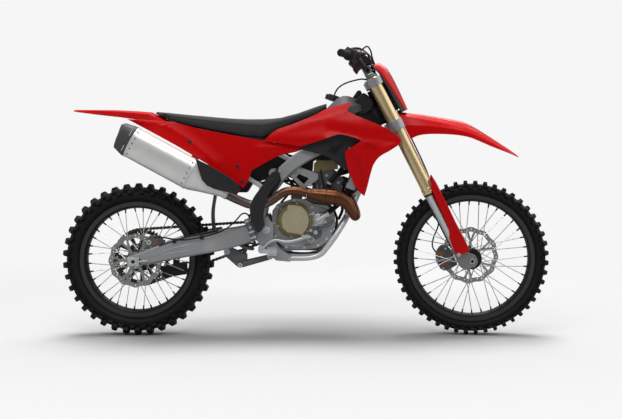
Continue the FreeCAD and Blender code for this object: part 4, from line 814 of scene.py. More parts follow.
PISTONS = ((-112, 62), (-110, 20))
dark_cast = cast_dark()
pad_orange = pad_compound()
caliper_edge = [
    (-66, 62), (-74, 82), (-90, 96), (-104, 95), (-126, 84), (-138, 68), (-149, 44), (-146, 6), (-138, -8),
    (-118, -15), (-92, -14), (-68, -12), (-66, 10),
]
inner_half = plate([caliper_edge, circle_points(-84, -2, 5, 16)], 45, 58.6)
outer_half = plate([caliper_edge], 67.4, 90)
bridge = plate([[(-138, 74), (-148, 44), (-144, 10), (-136.4, 0), (-136.4, 60)]], 58, 68)
pistons = [cross_bar(x, z, 88, 93.6, 16, 14.5, 28) for x, z in PISTONS]
caps = [cross_bar(x, z, 45.4, 44.2, 15, 13.5, 28) for x, z in PISTONS]
on_steering("front_caliper_cast", [inner_half, outer_half, bridge] + pistons + caps, dark_cast, "hub_alloy",
            "front_caliper", bevel=1.5)
pads = []
for low, high in ((58.8, 60.6), (65.4, 67.2)):
    pads.append(plate([[(-128, 40), (-96, 62), (-70, 56), (-70, 8), (-96, -6), (-126, 6)]], low, high))
for x, z in PISTONS:
    pads.append(plate([circle_points(x, z, 12, 8)], 44.1, 45.2))
on_steering("front_brake_pads", pads, pad_orange, "hub_alloy")
screw_places = ((-84, 78), (-140, 50), (-134, 0), (-76, -2))
screws = [bolt(x, 90, z, 4, 1) for x, z in screw_places]
screws.extend(bolt(x, 45, z, 4, -1) for x, z in screw_places[:3])
on_steering("front_caliper_screws", screws, steel, "axle_steel")

# Fork guards: a red wall round the front and the outer side of each inner tube, with a rolled front
# corner, a fold where the lower part is stepped and a bolt at its lower rear.


def red_gloss():
    """Bright red moulded plastic, glossy, with a trace of orange peel."""
    return surface("red_gloss", "cc0004", 0.3, shine=0.16, grain=5.0, depth=0.005, vary=0.03, broad=240.0)


red = red_gloss()
GUARD_FRONT = ((404, 8), (363, 12.4), (265, 13.1), (162, 11), (108, 12), (49, 12.8))
GUARD_REAR = ((404, 4), (370, -18), (300, -22), (234, -25), (168, -29.5), (139, -45), (82, -51), (49, -47))


def read_off(table, level):
    """Straight-line value from a table of (level, value) rows, highest level first."""
    for (high, first), (low, last) in zip(table, table[1:]):
        if level >= low:
            return last + (first - last) * (level - low) / (high - low)
    return table[-1][1]


def guard_form():
    """Left guard, as rings from its top to its foot."""
    rings = []
    levels = sorted({level for level, _ in GUARD_FRONT + GUARD_REAR} | set(range(60, 400, 12)),
                    reverse=True)
    for level in levels:
        front = read_off(GUARD_FRONT, level)
        rear = read_off(GUARD_REAR, level)
        corner = min(9.0, (front - rear) / 2)
        outer = [(front, 74), (front, 128 - corner / 2)]
        for step in range(1, 6):
            turn = math.radians(90 * step / 6)
            outer.append((front - corner + corner * math.cos(turn),
                          137.3 - corner + corner * math.sin(turn)))
        outer.extend([(front - corner, 137.3), ((front - corner + rear) / 2, 137.3), (rear, 136.2)])
        inner = [(rear, 133.6), (front - corner, 134.3), (front - 3, 130), (front - 3, 74)]
        rings.append([(x, y, level) for x, y in outer + inner])
    return loft(rings)


guards = guard_form()
on_steering("fork_guard_shells", both_sides(guards), red, "red_plastic", "fork_guards", sharp=50)
guard_bolt = merged([cross_bar(-40, 54, 136, 137.6, 9, 9, 24), bolt(-40, 137.4, 54, 4.6, 1, 2.4)])
on_steering("fork_guard_bolts", both_sides(guard_bolt), steel, "axle_steel")

# Triple clamps: cast bands round the tubes on a bridge, split at the back, with their pinch bolts,
# the stem nut and the bar mounts.

CLAMP_RING_R = 37.0
BAR_MOUNT_Y = 40.0


def clamp_grey():
    """Dark grey machined and anodised aluminium."""
    return surface("clamp_grey", "a3a5a7", 0.4, metal=0.55, grain=1.1, depth=0.04)


clamp_alloy = clamp_grey()
tube_cap = [(8, 906), (26.8, 906), (26.8, 924), (25.6, 926), (19, 926.6), (18, 932), (8, 932.6)]
on_steering("fork_caps", on_legs(tube_cap), dark_cast, "gold_tube")


def clamp_form(level, half, front_x, stem_r):
    """Level outline with a ring round each leg, lightened by two pockets, in one plate."""
    outline = []
    for side, turns in ((1, range(-60, 226, 15)), (-1, range(135, 421, 15))):
        outline.extend(round_spot(math.radians(turn), CLAMP_RING_R, LEG_X, side * LEG_Y) for turn in turns)
        if side > 0:
            outline.extend([(-66, 34), (-82, 14), (-82, -14), (-66, -34)])
    outline.extend([(front_x, -30), (front_x, 30)])
    holes = [circle_points(LEG_X, side * LEG_Y, 28.8, 48) for side in (-1, 1)]
    holes.append(circle_points(STEM_X, 0, stem_r, 32))
    flat = plate([outline] + holes, -half, half)
    lay_down = Matrix.Translation((0, 0, level)) @ Matrix.Rotation(-math.pi / 2, 4, "X")
    return moved(flat, lay_down)


for name, level, half, front_x, stem_r, node in (
    ("top", 893.0, 16.5, -22.0, 15.4, "top_clamp"), ("low", 682.0, 23.5, -3.6, 14.6, "bottom_clamp"),
):
    parts = [clamp_form(level, half, front_x, stem_r)]
    if name == "low":
        parts.append(upright(corners(3, 14.8, 660, 914), STEM_X, 0))
        parts.append(upright(corners(3, 20.6, 906.6, 917.6), STEM_X, 0, 6))
    for side in (-1, 1):
        y = side * LEG_Y
        ears = corners(-81, -64, y - 8.6, y + 8.6)
        parts.append(loft([[(x, at_y, z) for x, at_y in ears]
                           for z in (level - half + 3, level + half - 3)]))
        if name == "top":
            middle = side * BAR_MOUNT_Y
            post = corners(-58.8, -21.2, middle - 12.8, middle + 12.8)
            parts.append(loft([[(x, at_y, z) for x, at_y in post] for z in (905, 974.8)]))
    on_steering(name + "_clamp_cast", parts, clamp_alloy, "hub_alloy", node, bevel=1.4)
    heads = []
    for side in (-1, 1):
        for rise in (-0.5, 0.5):
            heads.append(bolt(-73, side * (LEG_Y + 8.4), level + rise * half, 4.2, side, 3.4))
    on_steering(name + "_clamp_bolts", heads, steel, "axle_steel")

# Finishes of the pieces whose shape comes over as it is: cast and drawn aluminium, painted
# magnesium, heat-tinted steel, moulded plastic, rubber and the seat's cover.


def cast_frame():
    """Silver-grey cast aluminium of frame and swingarm, satin with a fine grain."""
    return surface("cast_frame", "a9abad", 0.4, metal=0.6, grain=1.2, depth=0.05, vary=0.06, broad=160.0)


def satin_tube():
    """Bright drawn aluminium tube, brushed along."""
    return surface("satin_tube", "e2e4e6", 0.36, metal=0.45, grain=1.0, depth=0.02)


def engine_cast():
    """Grey sand-cast aluminium of the engine."""
    return surface("engine_cast", "9fa1a3", 0.45, metal=0.55, grain=1.5, depth=0.12, vary=0.1, broad=40.0)


def bronze_cast():
    """Olive-bronze painted magnesium covers."""
    return surface("bronze_cast", "8c8058", 0.42, metal=0.45, grain=1.4, depth=0.06, vary=0.08, broad=50.0)


def black_moulding():
    """Black polypropylene with a fine moulded grain."""
    return surface("black_moulding", "232427", 0.5, shine=0.35, grain=1.3, depth=0.05, vary=0.12)


def soft_black():
    """Black rubber, dull."""
    return surface("soft_black", "111112", 0.62, shine=0.35, grain=1.6, depth=0.06)


def tinted_along(made, front_code, rear_code, front_x, rear_x):
    """Lets a finish go from one colour to another along the bike, between two stations in mm."""
    tree = made.node_tree
    paint = next(node for node in tree.nodes if node.type == "BSDF_PRINCIPLED")
    spot = add(tree, "TexCoord")
    along = add(tree, "SeparateXYZ", {0: spot.outputs["Object"]})
    share = add(tree, "MapRange", {
        "Value": along.outputs["X"], "From Min": rear_axle_at.x + rear_x * MM,
        "From Max": rear_axle_at.x + front_x * MM})
    hue = add(tree, "Mix", {
        0: share.outputs[0], 6: linear(rear_code), 7: linear(front_code)}, data_type="RGBA")
    tree.links.new(hue.outputs[2], paint.inputs["Base Color"])
    return made


def copper_pipe():
    """Heat-tinted steel: copper-brown by the engine, a greyed mauve towards the can."""
    made = surface("copper_pipe", "8a5e46", 0.34, metal=1.0, grain=1.6, depth=0.012)
    return tinted_along(made, "6f4732", "716462", 700.0, 520.0)


def frame_painted_head_shade():
    """Frame aluminium darkened to near black at its head end: painted shade where the head lies in shadow
    behind its covers and cables.
    """
    made = surface("frame_painted_head_shade", "a9abad", 0.42, metal=0.5, grain=1.2, depth=0.05)
    # Painted shade: the frame darkens to near black from 965 mm to 985 mm along the bike, and stays so at
    # the head.
    return tinted_along(made, "1c1c1e", "a9abad", 985.0, 965.0)


def can_satin():
    """Satin titanium-grey can, brushed round."""
    return surface("can_satin", "eeeeec", 0.33, metal=0.5, grain=1.1, depth=0.03, vary=0.05,
                   stretch=(1, 0.12, 1))


def cap_stone():
    """Dark grey ceramic-coated end cap."""
    return surface("cap_stone", "4a4b4d", 0.5, metal=0.3, grain=1.5, depth=0.06)


def seat_cloth():
    """Dark grey gripping seat cover with a woven grain."""
    return surface("seat_cloth", "353537", 0.75, shine=0.3, grain=1.7, depth=0.25, vary=0.15, broad=120.0)


frame_cast = cast_frame()
satin = satin_tube()
case_cast = engine_cast()
# A darker copy of the engine's cast finish for the cases and barrel: painted shade, for where they sit
# behind the covers.
case_painted_shade = surface("engine_case_painted_shade", "56585a", 0.5, metal=0.5, grain=1.5, depth=0.12, vary=0.12,
                    broad=40.0)
bronze = bronze_cast()
black_plastic = black_moulding()
black_soft = soft_black()
copper = copper_pipe()
can_skin = can_satin()
cap_coat = cap_stone()
seat_cover = seat_cloth()
tank_grey = surface("tank_grey", "5d5e60", 0.45, shine=0.35, grain=1.3, depth=0.03)
FINISHES = (
    (frame_painted_head_shade(), "main_frame"),
    (frame_cast, "swingarm", "engine_mounts"),
    (satin, "lower_cradle", "subframe"),
    (dark_cast, "shock_link"),
    (case_painted_shade, "engine_cases", "cylinder"),
    (case_cast, "shock_absorber", "radiators"),
    (bronze, "engine_covers"),
    (dark_cast, "rear_brake"),
    (tank_grey, "fuel_tank"),
    (black_plastic, "radiator_louvres", "exhaust_shield", "filler_cap", "airbox", "frame_guards",
     "chain_guides", "bar_controls"),
    (black_soft, "coolant_hoses", "vent_hose", "mud_flap", "bar_pad", "grips", "brake_hose"),
    (copper, "exhaust_header"),
    (can_skin, "muffler"),
    (cap_coat, "muffler_cap"),
    (red, "shrouds", "side_panels", "rear_fender", "front_fender", "number_plate"),
    (seat_cover, "seat"),
    (silver, "rear_axle", "pivot_bolt", "foot_levers", "footpegs", "handlebar"),
)
for paint, *nodes in FINISHES:
    for node in nodes:
        mesh = frame["nodes"][node].data
        mesh.materials.clear()
        mesh.materials.append(paint)
        mesh.shade_smooth()
        mesh.set_sharp_from_angle(angle=math.radians(28))

# Engine, right side: a cast side cover with bolts round its edge, the stepped clutch cover with
# its raised, ribbed face, the water pump with its snout, the oil filter lid and the level glass.


def bronze_face():
    """The clutch cover's raised face, a paler and duller bronze."""
    return surface("bronze_face", "b9b094", 0.5, metal=0.3, grain=1.3, depth=0.04, vary=0.05, broad=60.0)


def amber_oil():
    """Amber oil seen in the level glass."""
    return surface("amber_oil", "b9a873", 0.3, shine=0.6, grain=1.0)


def smooth_line(points, steps):
    """Places on a smooth line through the points, steps to a run, without the last point."""
    line = [Vector(point) for point in points]
    line = [line[0] * 2 - line[1]] + line + [line[-1] * 2 - line[-2]]
    places = []
    for a, b, c, d in zip(line, line[1:], line[2:], line[3:]):
        for step in range(steps):
            t = step / steps
            straight = 2 * b + (c - a) * t
            square = (2 * a - 5 * b + 4 * c - d) * t * t
            cube = (3 * b - a - 3 * c + d) * t ** 3
            places.append(0.5 * (straight + square + cube))
    return places


def pipe(points, radius, sides=12, steps=6):
    """Round tube along a smooth line through the points; radius is a number or one a point."""
    sizes = list(radius) if isinstance(radius, (list, tuple)) else [radius] * len(points)
    path = []
    for i, spot in enumerate(smooth_line(points, steps)):
        t = i % steps / steps
        ease = t * t * (3 - 2 * t)
        run = i // steps
        path.append((spot, sizes[run] * (1 - ease) + sizes[run + 1] * ease))
    path.append((Vector(points[-1]), sizes[-1]))
    rings = []
    side = None
    for i, (spot, size) in enumerate(path):
        ahead = (path[min(i + 1, len(path) - 1)][0] - path[max(i - 1, 0)][0]).normalized()
        side = side or ahead.orthogonal()
        side = (side - ahead * side.dot(ahead)).normalized()
        rise = ahead.cross(side)
        turns = [TAU * step / sides for step in range(sides)]
        rings.append([spot + (side * math.cos(turn) + rise * math.sin(turn)) * size for turn in turns])
    return loft(rings)


def lathe(profile, x, z, steps=48):
    """A closed profile of (radius, y) turned about a cross line through (x, z)."""
    return moved(revolved(profile, steps), Matrix.Translation((x, 0, z)))


CLUTCH = (703, 520)
FLYWHEEL = (806, 482)
OIL_FILTER = (798, 465)
WATER_PUMP = (814, 522)
LEVEL_GLASS = (777, 433)
PUMP_SCREWS = ((786, 548), (838, 512), (800, 500), (776, 474))
pale_bronze = bronze_face()
amber = amber_oil()
side_edge = [
    (604, 496), (606, 560), (628, 590), (700, 616), (748, 612), (790, 590), (850, 584), (880, 556),
    (886, 500), (862, 430), (808, 396), (747, 388), (664, 392), (622, 428),
]
face = plate([side_edge], -80, -72)
rim_line = [(604, -80, 462), (620, -80, 434), (650, -80, 414), (690, -80, 405), (744, -80, 405),
            (790, -80, 416), (826, -80, 440), (850, -80, 475), (860, -80, 520), (850, -80, 560),
            (800, -80, 578)]
bosses = [(704, 606), (630, 578), (612, 506), (620, 446), (668, 400), (747, 398), (808, 408), (782, 578),
          (868, 552), (866, 470), (846, 436)]
posts = [cross_bar(x, z, -70, -84, 9.5, 8.5, 20) for x, z in bosses]
ribs = [round_bar((x, -78, z), (x + dx, -78, z + dz), 3.2, 3.2, 8)
        for x, z, dx, dz in ((700, 405, -12, 34), (744, 405, 4, 30), (800, 428, -10, 14),
                             (850, 500, -16, 4))]
on_chassis("right_side_cover", [face, pipe(rim_line, 4.2, 10, 4)] + posts + ribs, case_cast, "engine_alloy",
           bevel=1.5)
on_chassis("side_cover_bolts", [bolt(x, -84, z, 5, -1, 3.6) for x, z in bosses], silver, "axle_steel")
cover = [(1, -74), (77.5, -74), (78.5, -76), (78.5, -90), (76, -92.5), (71.5, -93.5), (70.5, -95),
         (69.5, -101), (67, -103.2), (1, -103.2)]
notch_spots = [round_spot(math.radians(turn), 66, *CLUTCH) for turn in (52, 128, 205, 255, 318)]
notches = [cross_bar(x, z, -102, -105, 4.4, 3.8, 12) for x, z in notch_spots]
fly = [(1, 60), (66, 60), (67, 62), (67, 76), (64.5, 79), (60.5, 80), (59, 86), (56, 88), (42, 88.6),
       (40, 93), (1, 93.8)]
chain_cover = plate([[(806, 548), (744, 560), (716, 528), (728, 470), (760, 430), (806, 416)]], 58, 71.5)
cam_edge = [(788, 731), (790, 770), (806, 784), (878, 782), (896, 764), (898, 744), (881, 742.6)]
cam_parts = [plate([cam_edge], -55.6, 55.6)]
cam_parts.extend(plate([[(800, 782), (800, 787.6), (872, 787.6), (884, 776)]], y - 3, y + 3)
                 for y in (-30, 0, 30))
cam_parts.append(round_bar((806, -44, 780), (806, -44, 797), 8, 7, 20))
cam_parts.append(round_bar((864, -40, 780), (870, -40, 792), 10, 10, 20))
on_chassis("clutch_cover", [lathe(cover, *CLUTCH, 72)] + notches, bronze, "cover_bronze", "engine_covers",
           bevel=0.8)
on_chassis("flywheel_and_cam_covers", [lathe(fly, *FLYWHEEL), chain_cover] + cam_parts, bronze,
           "cover_bronze", bevel=1.2)
raised = [
    (676, 588), (674, 566), (656, 552), (648, 522), (654, 488), (674, 468), (711, 463), (738, 456),
    (757, 480), (769, 516), (761, 556), (736, 580), (703, 586),
]
slants = [round_bar((x, -113.8, z), (far_x, -113.8, far_z), 1.3, 1.3, 8) for x, z, far_x, far_z in (
    (664, 526, 690, 486), (669, 556, 724, 476), (686, 570, 748, 486), (706, 576, 760, 506),
    (742, 574, 764, 546))]
on_chassis("clutch_cover_face", [plate([raised], -113.8, -103)] + slants, pale_bronze, "cover_bronze",
           bevel=2.0)
pump = [(1, -74), (30, -74), (30, -84), (27, -88), (22, -90), (21, -97), (18, -99.5), (1, -99.5)]
snout = [round_bar((803, -96, 517), (856, -94, 549), 10.5, 10.5, 28),
         round_bar((846, -94, 543), (857, -94, 549.6), 13, 13, 28)]
lid = [(9, -74), (27, -74), (27, -86), (24.5, -89.5), (21, -90), (20, -88), (9, -88)]
knob_end = [(1, -74), (9.4, -74), (9.4, -97), (8, -98.6), (1, -98.6)]
feed = pipe([(800, -92, 468), (828, -93, 484), (862, -90, 504), (876, -84, 520)], 4, 10)
window_ring = [(10.4, -80), (15.4, -80), (15.4, -87), (14.4, -88), (11.4, -88), (10.4, -87)]
tabs = [plate([circle_points(x, z, 8, 20)], -90, -78) for x, z in PUMP_SCREWS]
turned_parts = [lathe(pump, *WATER_PUMP), lathe(knob_end, *OIL_FILTER),
                lathe(window_ring, *LEVEL_GLASS, 36)]
on_chassis("water_pump", turned_parts + snout + tabs, silver, "engine_alloy", bevel=0.8)
on_chassis("oil_filter_lid", [lathe(lid, *OIL_FILTER), feed], dark_cast, "engine_alloy", bevel=0.8)
oil_edge = [(766.8, 433), (787.2, 433)]
oil_edge.extend(round_spot(math.radians(turn), 10.2, *LEVEL_GLASS) for turn in range(-20, -161, -20))
on_chassis("level_glass_oil", plate([oil_edge], -84.6, -80), amber, "cover_bronze")
heads = [bolt(x, -90, z, 4.2, -1, 3.4) for x, z in PUMP_SCREWS]
for turns, ring_r, centre, face_y, head in (
    ((0.4, 1.5, 2.6, 3.7, 4.8, 5.8), 61.5, FLYWHEEL, 80, (4, 1, 3)),
    ((0.35, 1.4, 2.45, 3.5, 4.55, 5.6), 74.5, CLUTCH, -91.5, (3.6, -1, 2.4)),
):
    for turn in turns:
        x, z = round_spot(turn, ring_r, *centre)
        heads.append(bolt(x, face_y, z, *head))
on_chassis("cover_bolts", heads, silver, "axle_steel")

# Engine, upper end: the barrel's joint lines, ribs and ports, the intake boot with its sensor and
# coil, the hoses and leads between the spars, and the saddle of the tank above them.


def moulding(name, form, *replaced, **edges):
    """Black plastic moulding of the frame."""
    return on_chassis(name, form, black_plastic, "black_plastic", *replaced, **edges)


joint_lines = [plate([[(782, 611 + z), (783, 613.4 + z), (903, 613.4 + z - dz), (903, 611 + z - dz)]],
                     -55.2, 55.2)
               for z, dz in ((4, 8), (84, 2), (116, -2))]
fins = [plate([corners(x, x + 6, 636, 690)], -57, -53) for x in (802, 822, 842, 862)]
port_places = ((794, 628), (890, 622), (796, 690), (898, 684), (846, 716))
ports = [cross_bar(x, z, -50, -60, 7.4, 6.6, 18) for x, z in port_places]
on_chassis("barrel_trim", joint_lines + fins + ports, case_cast, "engine_alloy", bevel=0.8)
saddle = [(690, 800), (735, 822), (790, 842), (850, 862), (934, 852), (926, 790), (906, 772), (880, 796),
          (800, 800), (760, 796), (724, 770)]
boot = [round_bar((752, 0, 708), (690, 0, 742), 33, 37, 32),
        round_bar((762, 0, 702), (752, 0, 707), 36, 36, 32)]
sensor = plate([[(728, 742), (764, 726), (756, 690), (720, 706)]], -46, -24)
coil = plate([[(700, 792), (742, 800), (750, 770), (708, 762)]], -52, -30)
moulding("tank_saddle_and_intake", [plate([saddle], -58, 58), sensor, coil] + boot, bevel=3.0)
lines = [
    pipe([(842, -62, 640), (858, -66, 682), (884, -68, 714), (912, -66, 744), (932, -60, 790)], 10.5, 14),
    pipe([(905, -30, 676), (930, -60, 680), (950, -76, 664), (968, -84, 640)], 12, 14),
    pipe([(918, 40, 700), (940, 66, 690), (960, 80, 664), (972, 84, 640)], 12, 14),
    pipe([(820, -58, 742), (824, -66, 715), (832, -62, 680), (828, -60, 655)], 3.2, 8),
    pipe([(864, -40, 790), (850, -46, 806), (800, -50, 800), (750, -50, 786)], 3.8, 8),
    pipe([(640, -50, 700), (684, -62, 676), (730, -60, 668), (784, -58, 652)], 4.6, 8),
    pipe([(640, -20, 690), (690, -30, 690), (740, -34, 664), (800, -40, 616)], 6.5, 10),
    pipe([(660, 30, 716), (690, 20, 676), (720, 10, 650), (700, 0, 610)], 5.5, 10),
    pipe([(616, -74, 420), (640, -78, 386), (690, -79, 376), (760, -79, 374), (820, -78, 386),
          (872, -74, 440), (892, -70, 510)], 4.6, 8),
    pipe([(880, -60, 560), (892, -66, 520), (884, -70, 470), (862, -72, 428)], 6.0, 10),
    pipe([(900, -20, 520), (916, -40, 560), (914, -60, 606), (930, -76, 650)], 7.0, 10),
    pipe([(612, 20, 540), (640, -30, 590), (680, -56, 640), (700, -40, 700)], 5.0, 8),
]
on_chassis("hoses_and_leads", lines, black_soft, "black_rubber")
clips = [round_bar((856.4, -65.6, 679), (860, -66.4, 687), 12.4, 12.4, 20),
         round_bar((908, -34, 677), (914, -41, 678), 14, 14, 20),
         round_bar((834, -92, 538), (838, -91.4, 542), 13, 13, 20)]
on_chassis("hose_clips", clips, silver, "axle_steel")

# Black intake cover in the notch of the right shroud and its twin on the left: a boomerang plate
# with a recess and a vane, over the spar.

cover_edge = [
    (733, 832), (762, 855), (821, 878), (900, 897), (960, 890), (1000, 874), (979, 855), (946, 839),
    (927, 822), (931, 793), (950, 737), (933, 741), (900, 760), (858, 795), (821, 810), (779, 820),
]
recess = [(842, 868), (898, 882), (948, 866), (914, 840), (900, 806), (872, 812)]


def notch_cover(side):
    """The plate with its recess, the floor of the recess and the vane across it."""
    floor_edge = [(836, 872), (902, 887), (954, 866), (920, 840), (906, 800), (866, 808)]
    vane_edge = [(862, 826), (908, 868), (914, 866), (868, 822)]
    layers = (([cover_edge, recess], 127, 131), ([floor_edge], 121, 127.4), ([vane_edge], 122, 130.4))
    return merged([plate(edges, *sorted((side * near, side * far))) for edges, near, far in layers])


louvre_bars = [plate([[(x, z), (x + 30, z + 34), (x + 37, z + 34), (x + 7, z)]], 131, 134.6)
               for x, z in ((846, 818), (862, 818), (878, 818))]
louvre_bars.append(plate([[(900, 866), (944, 858), (950, 852), (902, 858)]], 131, 134))
on_chassis("louvre_bars", both_sides(*louvre_bars), black_soft, "black_plastic", bevel=0.8)
moulding("intake_covers", [notch_cover(1), notch_cover(-1)], bevel=1.2)

# Exhaust: the steel header with its swollen chamber and weld seams, the oval can with end bands
# and rivets, its slanted cap and the black plastic shield over the cone.


def oval(along, wide, high, drop=0.0, count=40, power=2.7):
    """Rounded ring across the can's own axis."""
    ring = []
    for step in range(count):
        turn = TAU * step / count
        c = math.cos(turn)
        s = math.sin(turn)
        ring.append((along, math.copysign(abs(c) ** (2 / power), c) * wide / 2,
                     drop + math.copysign(abs(s) ** (2 / power), s) * high / 2))
    return ring


header_line = [(906, -12, 670), (930, -26, 650), (962, -66, 588), (975, -98, 548), (970, -120, 540),
               (956, -131, 566), (930, -136, 604), (890, -137, 622), (840, -137, 629), (796, -136, 635),
               (762, -134, 640)]
header_r = [20, 20, 20, 20.5, 21, 23, 30, 36, 35, 27, 20.5]
tail_line = [(760, -134, 640), (720, -133, 650), (670, -132, 648), (634, -132, 628), (596, -132, 602),
             (552, -132, 590), (510, -134, 592), (462, -141, 611), (414, -147, 634)]
seams = []
for x, y, z, r, dx, dy, dz in (
    (842, -137, 628.8, 35.6, 1, 0, -0.12), (886, -137, 622.6, 36.7, 1, 0, -0.2),
    (766, -134.2, 639.6, 21.4, 1, 0, -0.1), (758, -134, 640.8, 21.8, 1, 0, -0.1),
    (944, -134, 586, 26.6, 0.5, -0.1, -0.8), (940, -134.4, 591, 27.6, 0.5, -0.1, -0.8),
):
    run = Vector((dx, dy, dz)).normalized() * 1.3
    seams.append(round_bar(Vector((x, y, z)) - run, Vector((x, y, z)) + run, r, r, 40))
on_chassis("header_pipe", [pipe(header_line, header_r, 36, 6), pipe(tail_line, 19.2, 32, 6)], copper,
           "copper_pipe", "exhaust_header", sharp=50)
weld = surface("weld_bead", "4a2c1e", 0.35, metal=1.0, grain=1.2, depth=0.05)
on_chassis("header_welds", seams, weld, "copper_pipe")
CAN = BIKE @ Matrix.Translation((-4, -151, 865)) @ about_y(math.radians(28.4))
shell = loft([oval(0.5, 96, 138), oval(299.5, 96, 138)])
bands = [loft([oval(a, 97, 139), oval(a + 0.8, 98.4, 140.4), oval(b - 0.8, 98.4, 140.4), oval(b, 97, 139)])
         for a, b in ((1, 11), (290, 300))]
cone = loft([oval(300, 93, 135, 0), oval(316, 90, 130, -1), oval(356, 72, 100, -3),
             oval(410, 54, 70, -3, 40, 2.3), oval(456, 45.6, 46, -2, 40, 2.0),
             oval(478, 43.6, 43.6, -2, 40, 2.0)])
sleeve = loft([oval(462, 48, 48, -2, 40, 2.0), oval(480, 48, 48, -2, 40, 2.0)])
on_chassis("muffler_can", [shell, cone], can_skin, "can_steel", "muffler", bevel=0.8, place=CAN)
on_chassis("muffler_bands", bands + [sleeve], satin, "can_steel", bevel=0.5, place=CAN)
stay = [plate([[(226, 760), (262, 748), (314, 844), (292, 858)]], -112, -104),
        plate([corners(292, 314, 842, 858)], -112, -56)]
on_chassis("muffler_stay", stay, black_plastic, "can_steel", bevel=1.5)
rivets = [bolt(along, -48.9 * (1 - abs(z / 69) ** 2.7) ** (1 / 2.7), z, 2.6, -1, 1.4)
          for along in (17, 284) for z in (-50, -25, 0, 25, 50)]
on_chassis("muffler_rivets", rivets, dark_cast, "can_steel", place=CAN)
cap_rings = [oval(0, 98, 140, 0, 40, 3.2), oval(-8, 98, 140, 0, 40, 3.2), oval(-56, 84, 118, 2, 40, 3.6),
             oval(-92, 70, 92, 4, 40, 4.0)]
leaning = [[(max(x, -74 + (90 - z) / 6) if x < -50 else x, y, z) for x, y, z in ring] for ring in cap_rings]
on_chassis("muffler_end_cap", loft(leaning), cap_coat, "cap_grey", "muffler_cap", bevel=1.5, place=CAN)
mouth = [(12, 0), (19, 0), (20, 1), (20, 6), (12, 6)]
mouth_at = Matrix.Translation((-64, 0, 10)) @ about_y(math.radians(80)) @ STOOD_UP
on_chassis("muffler_mouth", moved(revolved(mouth, 40), mouth_at), satin, "can_steel", place=CAN)
chevrons = [plate([[(-9, a), (-12, a), (-12, b), (-9, b)]], -48.9, -45) for a, b in ((24, 56), (-50, -22))]
on_chassis("cap_marks", chevrons, satin, "cap_grey", place=CAN)
shield_edge = [(284, 791), (346, 762), (424, 716), (462, 688), (478, 661), (463, 638), (420, 648),
               (366, 661), (334, 676), (312, 700), (303, 728), (294, 756)]
slot_hole = [(424, 697), (434, 692), (440, 678), (431, 676)]
shield_parts = [
    plate([shield_edge, slot_hole], -206, -202.4), plate([slot_hole], -203, -202),
    plate([corners(378, 402, 660, 684)], -203, -168),
]
moulding("exhaust_heat_shield", shield_parts, "exhaust_shield", bevel=1.0)

# Bodywork: creased panels of bright red plastic. Each is a wall of even thickness through points
# on the part's own skin, raised or sunk along its creases.


def smooth_edge(runs, steps=5):
    """Closed outline through runs of points, smooth inside each run and cornered between them."""
    edge = []
    for run in runs:
        edge.extend(smooth_line(run, steps if len(run) > 2 else 1))
    return edge


def table_y(x, z, xs, levels, values):
    """Value read off a table with a row a level and a column a station, straight between them."""
    def share(at, places):
        """The place before a spot and how far the spot is from it to the next."""
        i = max(0, min(len(places) - 2, sum(place < at for place in places) - 1))
        return i, (at - places[i]) / (places[i + 1] - places[i])
    column, across = share(x, xs)
    row, up = share(z, levels)
    below = values[row][column] * (1 - across) + values[row][column + 1] * across
    above = values[row + 1][column] * (1 - across) + values[row + 1][column + 1] * across
    return below * (1 - up) + above * up


def from_line(x, z, line):
    """Distance from a point to a run of points."""
    spot = Vector((x, z))
    nearest = 1e9
    for start, end in zip(line, line[1:]):
        start, end = Vector(start), Vector(end)
        run = end - start
        t = max(0.0, min(1.0, (spot - start).dot(run) / run.length_squared))
        nearest = min(nearest, (spot - start - run * t).length)
    return nearest


def creased_panel(edge, creases, skin_y, wall=2.5, step=16.0):
    """Panel for the left side: creases are (line, height, reach) of ridges and grooves."""
    spots = [Vector((p[0], p[1])) for p in edge]
    ties = [(i, (i + 1) % len(spots)) for i in range(len(spots))]
    loop = list(range(len(spots)))
    for line, _, _ in creases:
        first = len(spots)
        for start, end in zip(line, line[1:]):
            count = max(1, round((Vector(end) - Vector(start)).length / 14))
            spots.extend(Vector(start).lerp(Vector(end), i / count) for i in range(count))
        spots.append(Vector(line[-1]))
        ties.extend((i, i + 1) for i in range(first, len(spots) - 1))
    low_x, low_z = (min(p[i] for p in edge) for i in (0, 1))
    high_x, high_z = (max(p[i] for p in edge) for i in (0, 1))
    row = 0
    z = low_z + 5
    while z < high_z:
        x = low_x + 5 + (step / 2 if row % 2 else 0)
        while x < high_x:
            if all(from_line(x, z, line) > 5 for line, _, _ in creases):
                spots.append(Vector((x, z)))
            x += step
        z += step * 0.87
        row += 1
    flat, _, faces, *_ = geometry.delaunay_2d_cdt(spots, ties, [loop], 1, 0.01)
    rises = []
    for p in flat:
        rise = 0.0
        for line, height, reach in creases:
            near = from_line(p.x, p.y, line)
            if near < reach:
                rise += height * (1 - near / reach) ** 1.3
        rises.append(rise)
    outer = [(p.x, skin_y(p.x, p.y) + rise, p.y) for p, rise in zip(flat, rises)]
    inner = [(x, y - wall, z) for x, y, z in outer]
    count = len(outer)
    walls = [tuple(face) for face in faces] + [tuple(i + count for i in reversed(face)) for face in faces]
    sides = {}
    for face in faces:
        sides.update(((a, b), True) for a, b in zip(face, list(face[1:]) + [face[0]]))
    walls.extend((b, a, a + count, b + count) for a, b in sides if (b, a) not in sides)
    return outer + inner, walls


SHROUD_X = (560, 720, 860, 960, 1060, 1190)
SHROUD_Y = (126, 146, 164, 176, 190, 204)
SHROUD_Z = (600, 760, 880, 960, 1060)
SHROUD_TUCK = (18, 6, 0, 22, 66)
TUCK_FADES = 0.35
shroud_long = SHROUD_X[-1] - SHROUD_X[0]
shroud_table = [[y - tuck * (1 - TUCK_FADES * (x - SHROUD_X[0]) / shroud_long)
                 for x, y in zip(SHROUD_X, SHROUD_Y)]
                for tuck in SHROUD_TUCK]


def shroud_y(x, z):
    """How far out the shroud's skin lies."""
    return table_y(x, z, SHROUD_X, SHROUD_Z, shroud_table)


